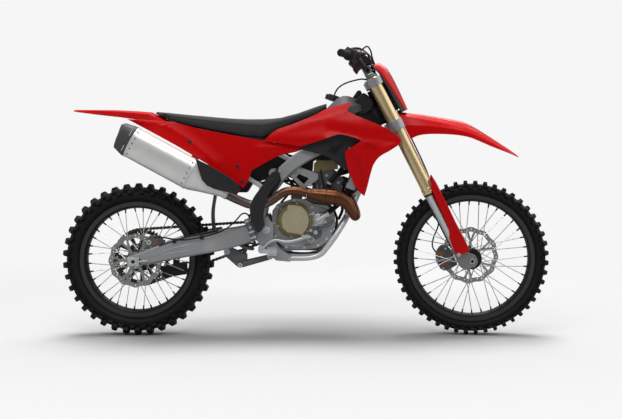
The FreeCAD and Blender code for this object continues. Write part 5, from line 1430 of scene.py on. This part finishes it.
shroud_runs = [
    [(572, 869), (619, 913), (689, 940), (732, 956)], [(732, 956), (798, 984), (851, 1011), (956, 1040)],
    [(956, 1040), (936, 1000)], [(936, 1000), (978, 978), (1040, 952), (1097, 927), (1137, 901)],
    [(1137, 901), (1166, 872), (1156, 850)],
    [(1156, 850), (1119, 826), (1075, 800), (1049, 765), (1035, 721)],
    [(1035, 721), (1022, 668), (1010, 629)], [(1010, 629), (978, 659), (952, 712), (934, 765), (926, 822)],
    [(926, 822), (996, 868)], [(996, 868), (978, 879), (921, 896), (895, 898)],
    [(895, 898), (820, 872), (740, 846)], [(740, 846), (572, 869)],
]
shroud_creases = [
    ([(870, 914), (931, 900), (1000, 886), (1080, 880), (1140, 872)], -9.0, 44.0),
    ([(1138, 858), (1084, 822), (1044, 764), (1024, 708), (1010, 650)], 3.0, 22.0),
    ([(934, 818), (944, 764), (968, 706), (1000, 650)], 3.0, 18.0),
    ([(640, 906), (740, 938), (850, 976), (930, 1002)], 2.5, 30.0),
]
shroud = creased_panel(smooth_edge(shroud_runs), shroud_creases, shroud_y)
shroud_feet = merged([cross_bar(1000, 800, 148.3, 178, 9, 9, 20),
                      cross_bar(866, 950, 100.3, 147, 9, 9, 20)])
on_chassis("radiator_shrouds", both_sides(shroud, shroud_feet), red, "red_plastic", "shrouds", bevel=0.9,
           sharp=55)

SIDE_X = (-50, 120, 300, 460, 620, 760)
SIDE_Y = (96, 110, 116, 116, 114, 118)
SIDE_Z = (640, 740, 850, 960)
side_table = [[y + out for y in SIDE_Y] for out in (10, 8, 0, -10)]


def side_y(x, z):
    """How far out the side panel's skin lies."""
    return table_y(x, z, SIDE_X, SIDE_Z, side_table)


side_runs = [
    [(-35, 966), (61, 916), (182, 851), (286, 790), (373, 738), (450, 686)], [(450, 686), (481, 662)],
    [(481, 662), (502, 693), (520, 741)], [(520, 741), (633, 802), (710, 823), (746, 843)],
    [(746, 843), (572, 869)], [(572, 869), (446, 892), (286, 923), (173, 953)], [(173, 953), (-35, 966)],
]
side_creases = [
    ([(120, 938), (155, 922), (186, 906), (238, 868), (364, 770)], 8.0, 46.0),
    ([(20, 958), (70, 946), (120, 930)], 3.0, 16.0), ([(540, 838), (620, 836), (716, 833)], 4.0, 20.0),
]
panel = creased_panel(smooth_edge(side_runs), side_creases, side_y)
panel_feet = merged([cross_bar(300, 897, 62.3, 112, 8, 8, 20), cross_bar(420, 760, 79.3, 120, 8, 8, 20)])
on_chassis("side_number_panels", both_sides(panel, panel_feet), red, "red_plastic", "side_panels",
           bevel=0.9, sharp=55)
buttons = []
for x, z in ((247, 864), (456, 758), (477, 690)):
    y = side_y(x, z) + (7 if x < 300 else 0)
    buttons.append(cross_bar(x, z, y - 1, y + 2.6, 9, 8, 28))
    buttons.append(cross_bar(x, z, y + 2, y + 3.4, 4.4, 3.6, 6))
moulding("side_panel_buttons", both_sides(*buttons))

# Thin darker dashes printed on the shrouds, in short slanting rows. They stand half a millimetre
# proud, which is as thin as a strip can be and still show.


def strip_on(line, wide, skin_y, lift=0.5, step=9.0):
    """A thin strip that lies on a skin along a straight line of (x, z) points."""
    start, end = Vector(line[0]), Vector(line[1])
    run = (end - start).normalized()
    across = Vector((-run.y, run.x)) * wide / 2
    count = max(1, round((end - start).length / step))
    rings = []
    for i in range(count + 1):
        spot = start.lerp(end, i / count)
        ring = []
        for p, out in ((spot - across, -0.8), (spot + across, -0.8), (spot + across, lift),
                       (spot - across, lift)):
            ring.append((p.x, skin_y(p.x, p.y) + out, p.y))
        rings.append(ring)
    return loft(rings)


def dash_rows(rows):
    """Rows of short strips from (start, end, count)."""
    dashes = []
    for start, end, count in rows:
        start, end = Vector(start), Vector(end)
        for i in range(count):
            dashes.append(strip_on((start.lerp(end, i / count), start.lerp(end, (i + 0.72) / count)), 1.7,
                                   shroud_y))
    return dashes


def dark_red():
    """Darker red of the printed dashes."""
    return surface("dark_red", "86060c", 0.4, shine=0.2, grain=1.5)


deep_red = dark_red()
dash_forms = dash_rows([((1006, 862), (1050, 824), 4), ((1016, 862), (1062, 823), 4),
                        ((1026, 861), (1074, 820), 4), ((1036, 860), (1086, 818), 4),
                        ((944, 818), (984, 756), 5), ((954, 822), (994, 758), 5),
                        ((964, 820), (1002, 758), 5), ((976, 752), (1010, 692), 4),
                        ((986, 754), (1018, 696), 4), ((996, 756), (1026, 702), 4)])
on_chassis("shroud_dashes", both_sides(*dash_forms), deep_red, "red_plastic")

# Seat: a firm stuffed pad in a dark grained cover, with a fine seam along each side, on a black
# base that shuts the gap to the side panels and leaves the small hand hold at the rear open.

SEAT = (
    (88, 990, 1000, 112, 92), (130, 972, 997, 150, 112), (180, 953, 992, 168, 130),
    (240, 938, 986, 184, 142), (300, 926, 981, 196, 150), (365, 912, 975, 202, 156),
    (430, 902, 970, 206, 160), (495, 892, 967.5, 203, 157), (560, 883, 968, 196, 150),
    (600, 901, 970, 182, 140), (640, 922, 974, 164, 128), (720, 956, 995, 136, 112),
    (800, 984, 1024, 112, 92), (846, 1018, 1038, 92, 72),
)


def seat_ring(x, low, high, wide, top):
    """Outline of the pad at one station, widest near its foot."""
    half, crown = wide / 2, top / 2
    tall = high - low
    side = [(half - 5, low), (half - 1, low + 0.1 * tall), (half, low + 0.3 * tall),
            (half - 1, low + 0.55 * tall), (half - 5, low + 0.74 * tall), (crown + 1, low + 0.9 * tall),
            (crown - 12, high - 0.035 * tall), (0.45 * crown, high - 0.01 * tall), (0, high)]
    ring = side + [(-y, z) for y, z in reversed(side[:-1])]
    return [(x, y, z) for y, z in ring]


pad = on_chassis("seat_pad", loft([seat_ring(*row) for row in SEAT]), seat_cover, "seat_vinyl", "seat",
                 sharp=60)
seam_line = [(x, wide / 2 - 2.6, low + 0.64 * (high - low)) for x, low, high, wide, top in SEAT[1:-1]]
on_chassis("seat_side_seams", both_sides(pipe(seam_line, 0.9, 6, 3)), black_soft, "seat_vinyl")
base_edge = [
    (118, 990), (140, 966), (152, 952), (168, 947), (198, 942), (300, 914), (446, 884), (560, 862),
    (600, 868), (640, 888), (730, 930), (730, 958), (640, 922), (596, 896), (560, 884), (430, 903),
    (300, 928), (206, 948), (196, 962), (170, 975), (150, 985), (130, 992),
]
hold = [(160, 962), (180, 957), (188, 959), (184, 966), (166, 972)]
base = plate([base_edge, hold], 52, 79)
base_low = plate([[(240, 930), (300, 906), (446, 876), (560, 856), (600, 866), (560, 880), (430, 896),
                   (300, 922)]], 78, 98)
base_tail = plate([[(86, 991), (104, 981), (128, 969), (152, 964), (146, 982), (118, 992)]], 36, 50)
moulding("seat_base", both_sides(base, base_low, base_tail), bevel=1.5)

# Tank top and head: the ribbed filler cap, screwed down on the tank, the black plastic covers
# round the head tube, and the cables that run past them.

FILLER_BASE = Vector((872, 0, 1050))
filler = [round_bar(FILLER_BASE, (879.4, 0, 1072), 33, 32, 40),
          round_bar((879, 0, 1071), (880.6, 0, 1076), 27, 24, 40)]
for step in range(12):
    turn = TAU * step / 12
    centre = FILLER_BASE + Vector((0.95 * math.cos(turn), math.sin(turn), -0.32 * math.cos(turn))) * 32.4
    filler.append(round_bar(centre, centre + Vector((7, 0, 20.6)), 4.2, 3.8, 10))
moulding("filler_cap_ribbed", filler, "filler_cap")
nose = [(944, 1004), (950, 988), (985, 986), (1018, 990), (1046, 1012), (1056, 1036), (1050, 1052),
        (1026, 1076), (1010, 1084), (996, 1072), (975, 1052), (958, 1038)]
head_side = [(1018, 992), (1052, 1034), (1070, 1012), (1084, 965), (1084, 925), (1066, 896), (1040, 900),
             (1010, 962)]
spine = [(950, 1046), (984, 1096), (998, 1098), (1006, 1082), (990, 1058), (968, 1036)]
covers = [both_sides(plate([head_side], 31, 40)), both_sides(plate([nose], 44, 60)),
          plate([spine], -20, 20)]
moulding("head_covers", covers, bevel=3.5)
cables = [
    pipe([(1000, 38, 1080), (1024, 40, 1036), (1048, 40, 980), (1040, 46, 920), (1000, 52, 880),
          (940, 50, 850)], 3.6, 8),
    pipe([(1010, -38, 1070), (1030, -40, 1030), (1052, -39, 978), (1048, -46, 920), (1010, -52, 872),
          (950, -48, 844)], 3.6, 8),
    pipe([(996, -24, 1084), (1016, -40, 1030), (1030, -41, 970), (1012, -46, 930), (980, -46, 890)],
         4.6, 8),
]
on_chassis("head_cables", cables, black_soft, "black_rubber")

# Vent hose: a soft black hose from the filler cap, in a low arch, to its nipple in the steering
# stem. Its points are the part's own, in metres from the ground under the rear axle, and its
# smooth curve is a little shorter than the straight runs between them.

VENT_ROUTE = (
    (0.880, 0.0, 1.074), (0.886, 0.0, 1.092), (0.899, 0.003, 1.111), (0.922, 0.007, 1.127),
    (0.950, 0.009, 1.138), (0.982, 0.007, 1.146), (1.008, 0.003, 1.151), (1.0312, 0.0, 1.1447),
)
VENT_D = 0.007
ground_point = BIKE.translation
hose_curve = bpy.data.curves.new("vent_hose_line", "CURVE")
hose_curve.dimensions = "3D"
hose_curve.bevel_depth = VENT_D / 2
hose_curve.bevel_resolution = 5
hose_curve.resolution_u = 10
hose_curve.use_fill_caps = True
hose_curve.materials.append(black_soft)
hose_line = hose_curve.splines.new("NURBS")
hose_line.points.add(len(VENT_ROUTE) - 1)
for point, spot in zip(hose_line.points, VENT_ROUTE):
    point.co = (*(ground_point + Vector(spot)), 1.0)
hose_line.order_u = 3
hose_line.use_endpoint_u = True
hose = bpy.data.objects.new("vent_hose_soft", hose_curve)
bpy.context.scene.collection.objects.link(hose)
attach(hose, "chassis")
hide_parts("vent_hose")

# Rear fender: a thin tail moulded in red plastic and bolted to the subframe. Three stiffening ribs
# run below it, from its end to the seat.

fender_ribs = [plate([[(-230, 1000), (-120, 996), (60, 986), (120, 970), (118, 962), (40, 968), (-120, 984),
                       (-230, 996)]],
               y - 1.6, y + 1.6) for y in (-40, 0, 40)]
on_chassis("rear_fender_ribs", fender_ribs, red, "red_plastic", bevel=0.6)

# Between the spars: mouldings of black plastic. They are the side walls of the air box, the wiring
# tray above the engine, and the right frame guard, which stands off the frame over the header.

box_wall = [(486, 716), (506, 692), (552, 690), (600, 706), (640, 730), (690, 738), (720, 752), (716, 800),
            (690, 806), (640, 822), (590, 830), (540, 800), (500, 760)]
tray = [(704, 798), (760, 806), (840, 812), (905, 806), (900, 786), (800, 787), (786, 776), (783, 736),
        (738, 730), (716, 716), (698, 728)]
moulding("air_box_walls", both_sides(plate([box_wall], 46, 50)), bevel=1.5)
on_chassis("wiring_tray", both_sides(plate([tray], 58, 62)), black_soft, "black_plastic", bevel=1.0)
over_runs = [
    [(540, 482), (521, 515), (514, 552), (518, 592), (531, 625), (556, 660), (584, 700), (612, 734)],
    [(612, 734), (638, 740)], [(638, 740), (645, 718)],
    [(645, 718), (629, 684), (602, 648), (584, 606), (575, 566), (573, 532), (578, 506)],
    [(578, 506), (566, 484)], [(566, 484), (554, 470)], [(554, 470), (540, 482)],
]
over_edge = [(p.x, p.y) for p in smooth_edge(over_runs, 4)]
studs = [cross_bar(x, z, -124, -160, 7, 6, 18) for x, z in ((549, 500), (622, 716))]
raised_pad = plate([[(588, 690), (604, 706), (622, 704), (606, 680)]], -167, -163.4)
moulding("frame_guard_over_pipe", [plate([over_edge], -164, -158), raised_pad] + studs, bevel=2.0)
PIVOT_FACE = 116.0
pivot_cap = lathe([(4, 0), (14, 0), (16, -1), (16, -5), (13, -7), (9, -6), (4, -6)], 582, 477)
on_chassis("pivot_caps", moved(pivot_cap, Matrix.Translation((0, -PIVOT_FACE, 0))), silver, "axle_steel",
           bevel=0.4)

# Frame hardware: the bolts that hold the guards, the engine and the spars' fittings, with the
# pivot and link nuts, and a ridge moulded on each frame guard.

PLATE_FACE = 109.6
GUARD_FACE = 112.8


def frame_boss(x, z, side, near, far, radius, end_r, sides):
    """Round or hexagonal boss on one side of the frame, from near to far off its middle."""
    return cross_bar(x, z, side * near, side * far, radius, end_r, sides)


frame_bits = []
for side in (-1, 1):
    frame_bits.extend(bolt(x, side * 113, z, r, side, 2.6)
                      for x, z, r in ((640, 736, 5), (526, 540, 5), (560, 560, 4)))
    frame_bits.append(frame_boss(583, 478, side, PLATE_FACE, 115, 18, 17, 36))
    frame_bits.append(frame_boss(583, 478, side, 114, 118, 11.5, 11, 6))
    frame_bits.append(frame_boss(604, 376, side, PLATE_FACE, 116, 14, 13, 28))
    frame_bits.append(frame_boss(557, 399, side, PLATE_FACE, 115, 11, 10, 28))
    frame_bits.extend(bolt(x, side * 84, z, 5, side, 3) for x, z in ((722, 740), (696, 716), (774, 674)))
    frame_bits.append(bolt(936, side * 70, 548, 7, side, 4))
    frame_bits.append(bolt(684, side * 110, 350, 5, side, 3))
on_chassis("frame_bolts", frame_bits, silver, "axle_steel")
guard_lines = []
for side in (-1, 1):
    for line, radius, steps in ((((598, 680), (612, 704), (630, 690), (608, 660)), 1.2, 3),
                                (((530, 530), (526, 580), (550, 630), (582, 680)), 1.0, 4)):
        guard_lines.append(pipe([(x, side * GUARD_FACE, z) for x, z in line], radius, 6, steps))
moulding("frame_guard_ridges", guard_lines)

# Swingarm: two ridges and a seam along each cast arm, the black rubbing rail on top, the axle's
# adjuster blocks with their screws, and the brake line along the right arm with its clips.

ARM_X = (-26, 30, 100, 200, 300, 370, 448, 540)
ARM_FACE = (121, 121, 121, 119, 104, 77, 64, 76)


def arm_y(x):
    """How far out the arm's outer face lies."""
    return table_y(x, 1, ARM_X, (0, 2), (ARM_FACE, ARM_FACE))


ridge = [pipe([(x, arm_y(x) - 0.4, z) for x, z in line], 2.2, 8, 4) for line in (
    ((360, 452), (280, 426), (200, 405), (120, 384)), ((360, 416), (280, 398), (200, 382), (120, 366)))]
arm_seam = [(x, arm_y(x) - 0.3, z) for x, z in ((66, 358), (170, 377), (282, 398), (360, 418))]
on_chassis("swingarm_seams", both_sides(pipe(arm_seam, 0.8, 8, 4)), dark_cast, "frame_alloy")
rail = [(x, arm_y(x) - 3.5, z) for x, z in ((112, 408), (160, 424), (232, 446), (300, 462), (366, 474))]
moulding("swingarm_top_rails", both_sides(pipe(rail, 4.2, 8, 4)))
ends = []
for side in (-1, 1):
    low, high = sorted((side * 121.4, side * 130))
    ends.append(plate([corners(-24, 26, 320, 360), circle_points(0, REAR_R, 11, 28)], low, high))
    ends.append(round_bar((26, side * 125.6, 340), (62, side * 125.6, 344), 4, 4, 12))
    ends.append(round_bar((44, side * 125.6, 342), (50, side * 125.6, 342.6), 7, 7, 6))
axle_nut = [(8.2, 121), (15.5, 121), (16, 122), (16, 134), (15, 135), (10.5, 135), (8.2, 133)]
ends.append(lathe(axle_nut, 0, REAR_R))
ends.append(mirrored(lathe(axle_nut, 0, REAR_R)))
ends.append(lathe(corners(8.2, 11, -121, 121), 0, REAR_R))
on_chassis("axle_adjusters", ends, silver, "axle_steel", "rear_axle", bevel=0.8)
on_chassis("swingarm_ridges", both_sides(*ridge), frame_cast, "frame_alloy")
brake_line = [(514, -126, 520), (500, -128, 548), (474, -112, 548), (440, -88, 512), (390, -84, 474),
              (320, -112, 452), (220, -126, 436), (130, -122, 446), (100, -100, 446), (84, -84, 440)]
on_chassis("rear_brake_line", pipe(brake_line, 3.4, 10), black_soft, "black_rubber")
line_clips = [plate([corners(x - 8, x + 8, z - 9, z + 9)], -y - 8, -y)
              for x, z, y in ((300, 445, 108), (180, 430, 122))]
moulding("line_clips", line_clips, bevel=1.5)

# Shock absorber: a steel spring of eight turns between its seats on the damper's body, with an eye
# at each end and the gold reservoir at the head. Below it, the foot controls' teeth and springs.

SHOCK_FOOT = Vector((470, 0, 350))
SHOCK_HEAD = Vector((584, 0, 706))
COIL_TURNS = 8
COIL_R = 33.0
COIL_FROM = 56.0
COIL_HIGH = 196.0
shock_line = SHOCK_HEAD - SHOCK_FOOT
shock_long = shock_line.length
shock_turn = shock_line.normalized().to_track_quat("Z", "Y").to_matrix().to_4x4()
SHOCK = BIKE @ Matrix.Translation(SHOCK_FOOT) @ shock_turn
coil_line = []
for step in range(COIL_TURNS * 12 + 1):
    coil_line.append((*round_spot(TAU * step / 12, COIL_R),
                      COIL_FROM + COIL_HIGH * step / (COIL_TURNS * 12)))
rod_shape = [(1, 12), (9, 12), (9, 34), (36, 40), (38, 44), (38, 50), (10, 52), (9, 140), (20, 142),
             (20, 252), (37, 254), (37.5, 262), (24, 267), (23.6, shock_long - 30), (12, shock_long - 20),
             (10, shock_long - 11), (1, shock_long - 11)]
eyes = [lathe(corners(8.4, 13.8, -11.8, 11.8), spot.x, spot.z, 32) for spot in (SHOCK_FOOT, SHOCK_HEAD)]
on_chassis("shock_eyes", eyes, silver, "hub_alloy", "shock_absorber")
on_chassis("shock_body", upright(rod_shape, 0, 0, 40), dark_cast, "hub_alloy", place=SHOCK)
reservoir = [round_bar((16, 0, shock_long - 60), (62, 0, shock_long - 60), 17, 18.6, 32),
             round_bar((62, 0, shock_long - 60), (66, 0, shock_long - 60), 18.6, 17, 32)]
on_chassis("shock_reservoir", reservoir, gold, "hub_alloy", place=SHOCK)
spring_paint = surface("spring_paint", "3b3c3f", 0.4, metal=0.4, grain=1.4, depth=0.03)
on_chassis("shock_spring", pipe(coil_line, 4.8, 10, 2), spring_paint, "hub_alloy", place=SHOCK)
teeth = []
for side in (-1, 1):
    for edge in (577.5, 630.5):
        for step in range(9):
            y = side * (141 + step * 9.4)
            low, high = sorted((y - 2.6, y + 2.6))
            teeth.append(plate([[(edge - 3.2, 397), (edge - 1.4, 403), (edge + 1.4, 403),
                                 (edge + 3.2, 397)]], low, high))
    coil = []
    for i in range(22):
        x, z = round_spot(0.6 * i, 17, 606, 385)
        coil.append((x, side * (114 + 0.6 * i * 1.4), z))
    teeth.append(pipe(coil, 1.6, 6, 2))
on_chassis("peg_teeth_and_springs", teeth, silver, "axle_steel")
pad_teeth = [(742, 456), (746, 461), (750, 456), (756, 461), (760, 456), (766, 461), (770, 456), (772, 453),
             (740, 453)]
pedal_bits = [bolt(562, -124, 392, 7, -1, 4), bolt(748, -131, 451, 3, -1, 2),
              plate([pad_teeth], -149, -113)]
pedal_bits.extend(cross_bar(804, 445, y, y + 2.2, 9, 9, 20) for y in (118, 123, 128, 133, 138, 142))
on_chassis("pedal_teeth", pedal_bits, silver, "bar_alloy")

# Small machined parts low on the right: pin heads of the linkage, the pedal's pivot, the clamps and
# banjo of the master cylinder, and the rear caliper's piston cover with its pins and pads.


def pin_head(x, z, y, radius, out):
    """Shouldered pin head on the right, standing out from a face at y."""
    return lathe([(3, -y), (radius, -y), (radius, -y - out + 1), (radius - 1, -y - out), (3, -y - out),
                  (3, -y - out / 2)], x, z, 28)


pins = merged([pin_head(399, 374, 20, 14, 6), pin_head(460, 314, 34, 11, 5), pin_head(592, 350, 34, 10, 5)])
on_chassis("linkage_pins", both_sides(mirrored(pins)), silver, "axle_steel")
low_parts = [pin_head(562, 392, 124, 16, 8), pin_head(602, 386, 136, 11, 4)]
master_low, master_high = Vector((530, -125, 436)), Vector((498, -129, 528))
for share in (0.08, 0.34, 0.86):
    spot = master_low.lerp(master_high, share)
    low_parts.append(round_bar(spot, spot + (master_high - master_low) * 0.09, 14.6, 14.6, 28))
low_parts.append(cross_bar(514, 492, -142, -136, 6, 6, 6))
on_chassis("pedal_and_master_fittings", low_parts, silver, "axle_steel", bevel=0.5)
rear_cover = [pin_head(62, 421, 90, 12, 5), pin_head(98, 438, 90, 4.5, 4), pin_head(72, 400, 90, 4.5, 4)]
on_chassis("rear_caliper_fittings", rear_cover, silver, "axle_steel")
rear_pads = [plate([circle_points(x, z, 6, 16)], -92, -89) for x, z in ((88, 430), (90, 412))]
on_chassis("rear_brake_pad_ends", rear_pads, pad_orange, "hub_alloy")

# Handlebar: a dark tapered bar, ribbed grips, the pad with a red piping, levers, throttle housing
# with its cables, master cylinder, the button block on the left and the clamps over the bar.


def dark_anodised():
    """Dark grey anodised bar."""
    return surface("dark_anodised", "36373a", 0.35, metal=0.7, grain=1.2, depth=0.02)


bar_dark = dark_anodised()
GRIP_FROM = Vector((-53, 168, 1032))
GRIP_TO = Vector((-97, 400, 1050))
grip_way = (GRIP_TO - GRIP_FROM).normalized()
grip_turn = Vector((0, 1, 0)).rotation_difference(grip_way).to_matrix().to_4x4()
GRIP = Matrix.Translation(GRIP_FROM) @ grip_turn


def on_bar(profile):
    """A closed profile of (radius, distance out along the bar) about the left outer run."""
    return moved(revolved(profile, 36), GRIP)


right_half = [(-40, 0, 957), (-40, 60, 957), (-40.5, 84, 959), (-44, 108, 975), (-49, 144, 1008),
              (-52.5, 166, 1027), (-58, 192, 1034), (-70, 258, 1039), (-97, 399, 1049.9)]
bar_line = [(x, -y, z) for x, y, z in reversed(right_half[1:])] + right_half
brace = pipe([(-50, -128, 1000), (-50, 0, 1000), (-50, 128, 1000)], 5.0, 12)
on_steering("bar_tube", [pipe(bar_line, 11.0, 24, 5), brace], bar_dark, "bar_alloy", "handlebar")
ribbed = [(11.2, 118.6), (24.8, 118.6), (25.2, 120), (24.8, 122), (18, 123.4)]
for step in range(22):
    base = 125 + step * 5
    ribbed.extend([(16.4, base), (16.4, base + 2.6), (15.0, base + 3.2), (15.0, base + 4.4)])
ribbed.extend([(16.4, 236), (16.4, 239.6), (14.8, 240.9), (1, 240.9), (1, 238.4), (11.2, 238.4)])
on_steering("grip_sleeves", both_sides(on_bar(ribbed)), black_soft, "black_rubber", "grips")
pad_edge = [
    (-92, 969), (-78, 979), (-60, 983.4), (-36, 983.4), (-14, 978), (-5, 985), (-5, 1002), (-14, 1017),
    (-27, 1023), (-62, 1019), (-88, 1001), (-94, 986),
]
foam = on_steering("bar_pad_foam", plate([pad_edge], -84, 84), black_soft, "black_rubber", "bar_pad",
                   bevel=5)
inset = [(-49 + (x + 49) * 0.86, z + (1000 - z) * 0.14) for x, z in pad_edge]
piping = [pipe([(x, side * 84.4, z) for x, z in inset + inset[:1]], 0.7, 6, 3) for side in (-1, 1)]
on_steering("bar_pad_piping", piping, deep_red, "black_rubber")
perch = [(11.4, 59.2), (18.6, 59.2), (19, 60), (19, 78), (18.6, 79), (11.4, 79)]
clutch_end = [(-64, 226), (-34, 226), (-28, 231), (-28, 250), (-60, 250)]
blade = pipe([(-38, 232, 1020), (-20, 240, 1014), (-10, 262, 1012), (-14, 300, 1014.5), (-24, 336, 1018.4),
              (-42, 397, 1026)], [6.4, 6.6, 5.6, 4.8, 4.8, 6.4], 12, 5)
on_steering("hand_levers", both_sides(blade), bar_dark, "bar_alloy")


def lying(outline_xy, low, high):
    """Level plate with its outline in (x, y)."""
    return loft([[(x, y, z) for x, y in outline_xy] for z in (low, high)])


housing = [(11.4, 86), (26, 86), (27.8, 88), (27.8, 114), (26, 117), (11.4, 117)]
right_parts = [
    mirrored(on_bar(perch)), mirrored(on_bar(housing)),
    lying([(-70, -246), (-32, -246), (-28, -240), (-28, -218), (-34, -214), (-66, -214)], 1010, 1030),
    lying([(-62, -250), (-36, -250), (-34, -246), (-34, -210), (-38, -206), (-60, -206)], 1029, 1052),
    round_bar((-84, -268, 1056), (-62, -266, 1068), 7.5, 6.5, 16),
    round_bar((-98, -270, 1052), (-106, -270, 1062), 8, 7, 16),
]
left_parts = [
    on_bar(perch), lying(clutch_end, 1008, 1036),
    on_bar([(11.4, 95), (16.6, 95), (17, 96), (17, 115), (11.4, 115)]),
    lying([(-100, 258), (-78, 258), (-74, 264), (-74, 286), (-100, 286)], 1016, 1034),
    round_bar((-44, 238, 1036), (-44, 238, 1044), 8, 7, 20),
]
on_steering("bar_housings", right_parts + left_parts, black_plastic, "black_plastic", "bar_controls",
            bevel=1.8)
lids = [lying([(-60, -248), (-37, -248), (-35.5, -244), (-35.5, -212), (-39, -208), (-59, -208)],
              1052, 1055.6)]
lids.extend(round_bar((x, y, 1055), (x, y, 1056.6), 2.6, 2.4, 10) for x, y in ((-54, -242), (-42, -214)))
lids.extend(bolt(x, -251.4, z, 3.2, -1, 1.6) for x, z in ((-56, 1034), (-40, 1046)))
lids.append(round_bar((-34, -226, 1034), (-20, -226, 1034), 5.4, 5.4, 6))
on_steering("reservoir_lid", lids, clamp_alloy, "axle_steel", bevel=0.6)
on_steering("stop_button", round_bar((-100, 272, 1025), (-103.5, 272, 1025), 6, 5.4, 24), red,
            "black_plastic")
throttle = [
    pipe([(-64, -266, 1058), (-46, -256, 1056), (-22, -232, 1044), (-6, -190, 1016), (-6, -130, 994),
          (-16, -70, 950), (-18, -40, 922)], 3.6, 10),
    pipe([(-64, -262, 1055), (-44, -250, 1050), (-16, -222, 1036), (0, -180, 1006), (0, -120, 984),
          (-10, -64, 944), (-14, -36, 920)], 3.0, 10),
    pipe([(-44, 238, 1026), (-34, 226, 1020), (-12, 190, 1004), (-2, 130, 976), (-8, 70, 956),
          (-16, 36, 922)], 3.4, 10),
    pipe([(-88, 262, 1022), (-70, 236, 1014), (-62, 190, 1012), (-58, 150, 1000), (-56, 110, 966),
          (-52, 70, 940)], 2.4, 8),
]
on_steering("bar_cables", throttle, black_soft, "black_rubber")
caps = []
for side in (-1, 1):
    y = side * BAR_MOUNT_Y
    caps.append(lying(corners(-58, -22, y - 12.4, y + 12.4), 968.4, 974.4))
    caps.extend(round_bar((x, y + dy, 974), (x, y + dy, 979), 4.2, 4, 6)
                for x in (-53, -27) for dy in (-7, 7))
    centre = (LEG_X, side * LEG_Y)
    caps.append(round_bar((*centre, 933), (*centre, 938.6), 12, 11.4, 6))
    caps.append(round_bar((*centre, 931), (*centre, 934.6), 17.5, 17, 36))
on_steering("bar_clamp_caps", caps, silver, "bar_alloy", bevel=0.6)

# Front plate: a blank red face over a black plastic shell whose sides turn back to the fork,
# held by a carrier between the clamps and by two rubber straps.

PLATE_ROWS = ((722, 66, 43, 28, 0.70), (756, 76, 44.6, 31, 0.77), (790, 86, 46, 34, 0.83),
              (825, 95, 46.8, 36, 0.88), (860, 104, 47, 38, 0.92), (893, 107, 46, 39, 0.94),
              (925, 108, 44, 40, 0.96), (950, 100, 33, 37, 0.97), (966, 92, 22, 34, 0.985))


def plate_rings(limit_on, out, wall):
    """Bowed wall, level by level; with the limit on, it stops short of the sides."""
    rings = []
    for level, half, front, sweep, limit in PLATE_ROWS:
        reach = limit if limit_on else 1.0
        shares = [reach * i / 8 for i in range(-8, 9)]
        face_ring = [(front - sweep * abs(share) ** 2.4 + out, share * half) for share in shares]
        ring = face_ring + [(x - wall, y) for x, y in reversed(face_ring)]
        rings.append([(x, y, level) for x, y in ring])
    return rings


shell_form = loft(plate_rings(False, -0.4, 2.0))
face_form = loft(plate_rings(True, 1.6, 2.0))
on_steering("front_plate_shell", shell_form, black_plastic, "black_plastic", "number_plate", sharp=60)
on_steering("front_plate_face", face_form, red, "red_plastic", bevel=0.6, sharp=60)
carrier = plate([[(-6, 742), (27, 744), (27, 900), (14, 912), (-6, 896)]], -38, 38)
on_steering("front_plate_carrier", carrier, black_plastic, "black_plastic", bevel=3)
strap = [round_bar((-30, 0, 966), (16, 0, 952), 7, 7, 12), round_bar((4, 0, 724), (30, 0, 740), 8, 8, 12)]
on_steering("front_plate_straps", strap, black_soft, "black_rubber")

bpy.context.scene.view_settings.view_transform = "Standard"
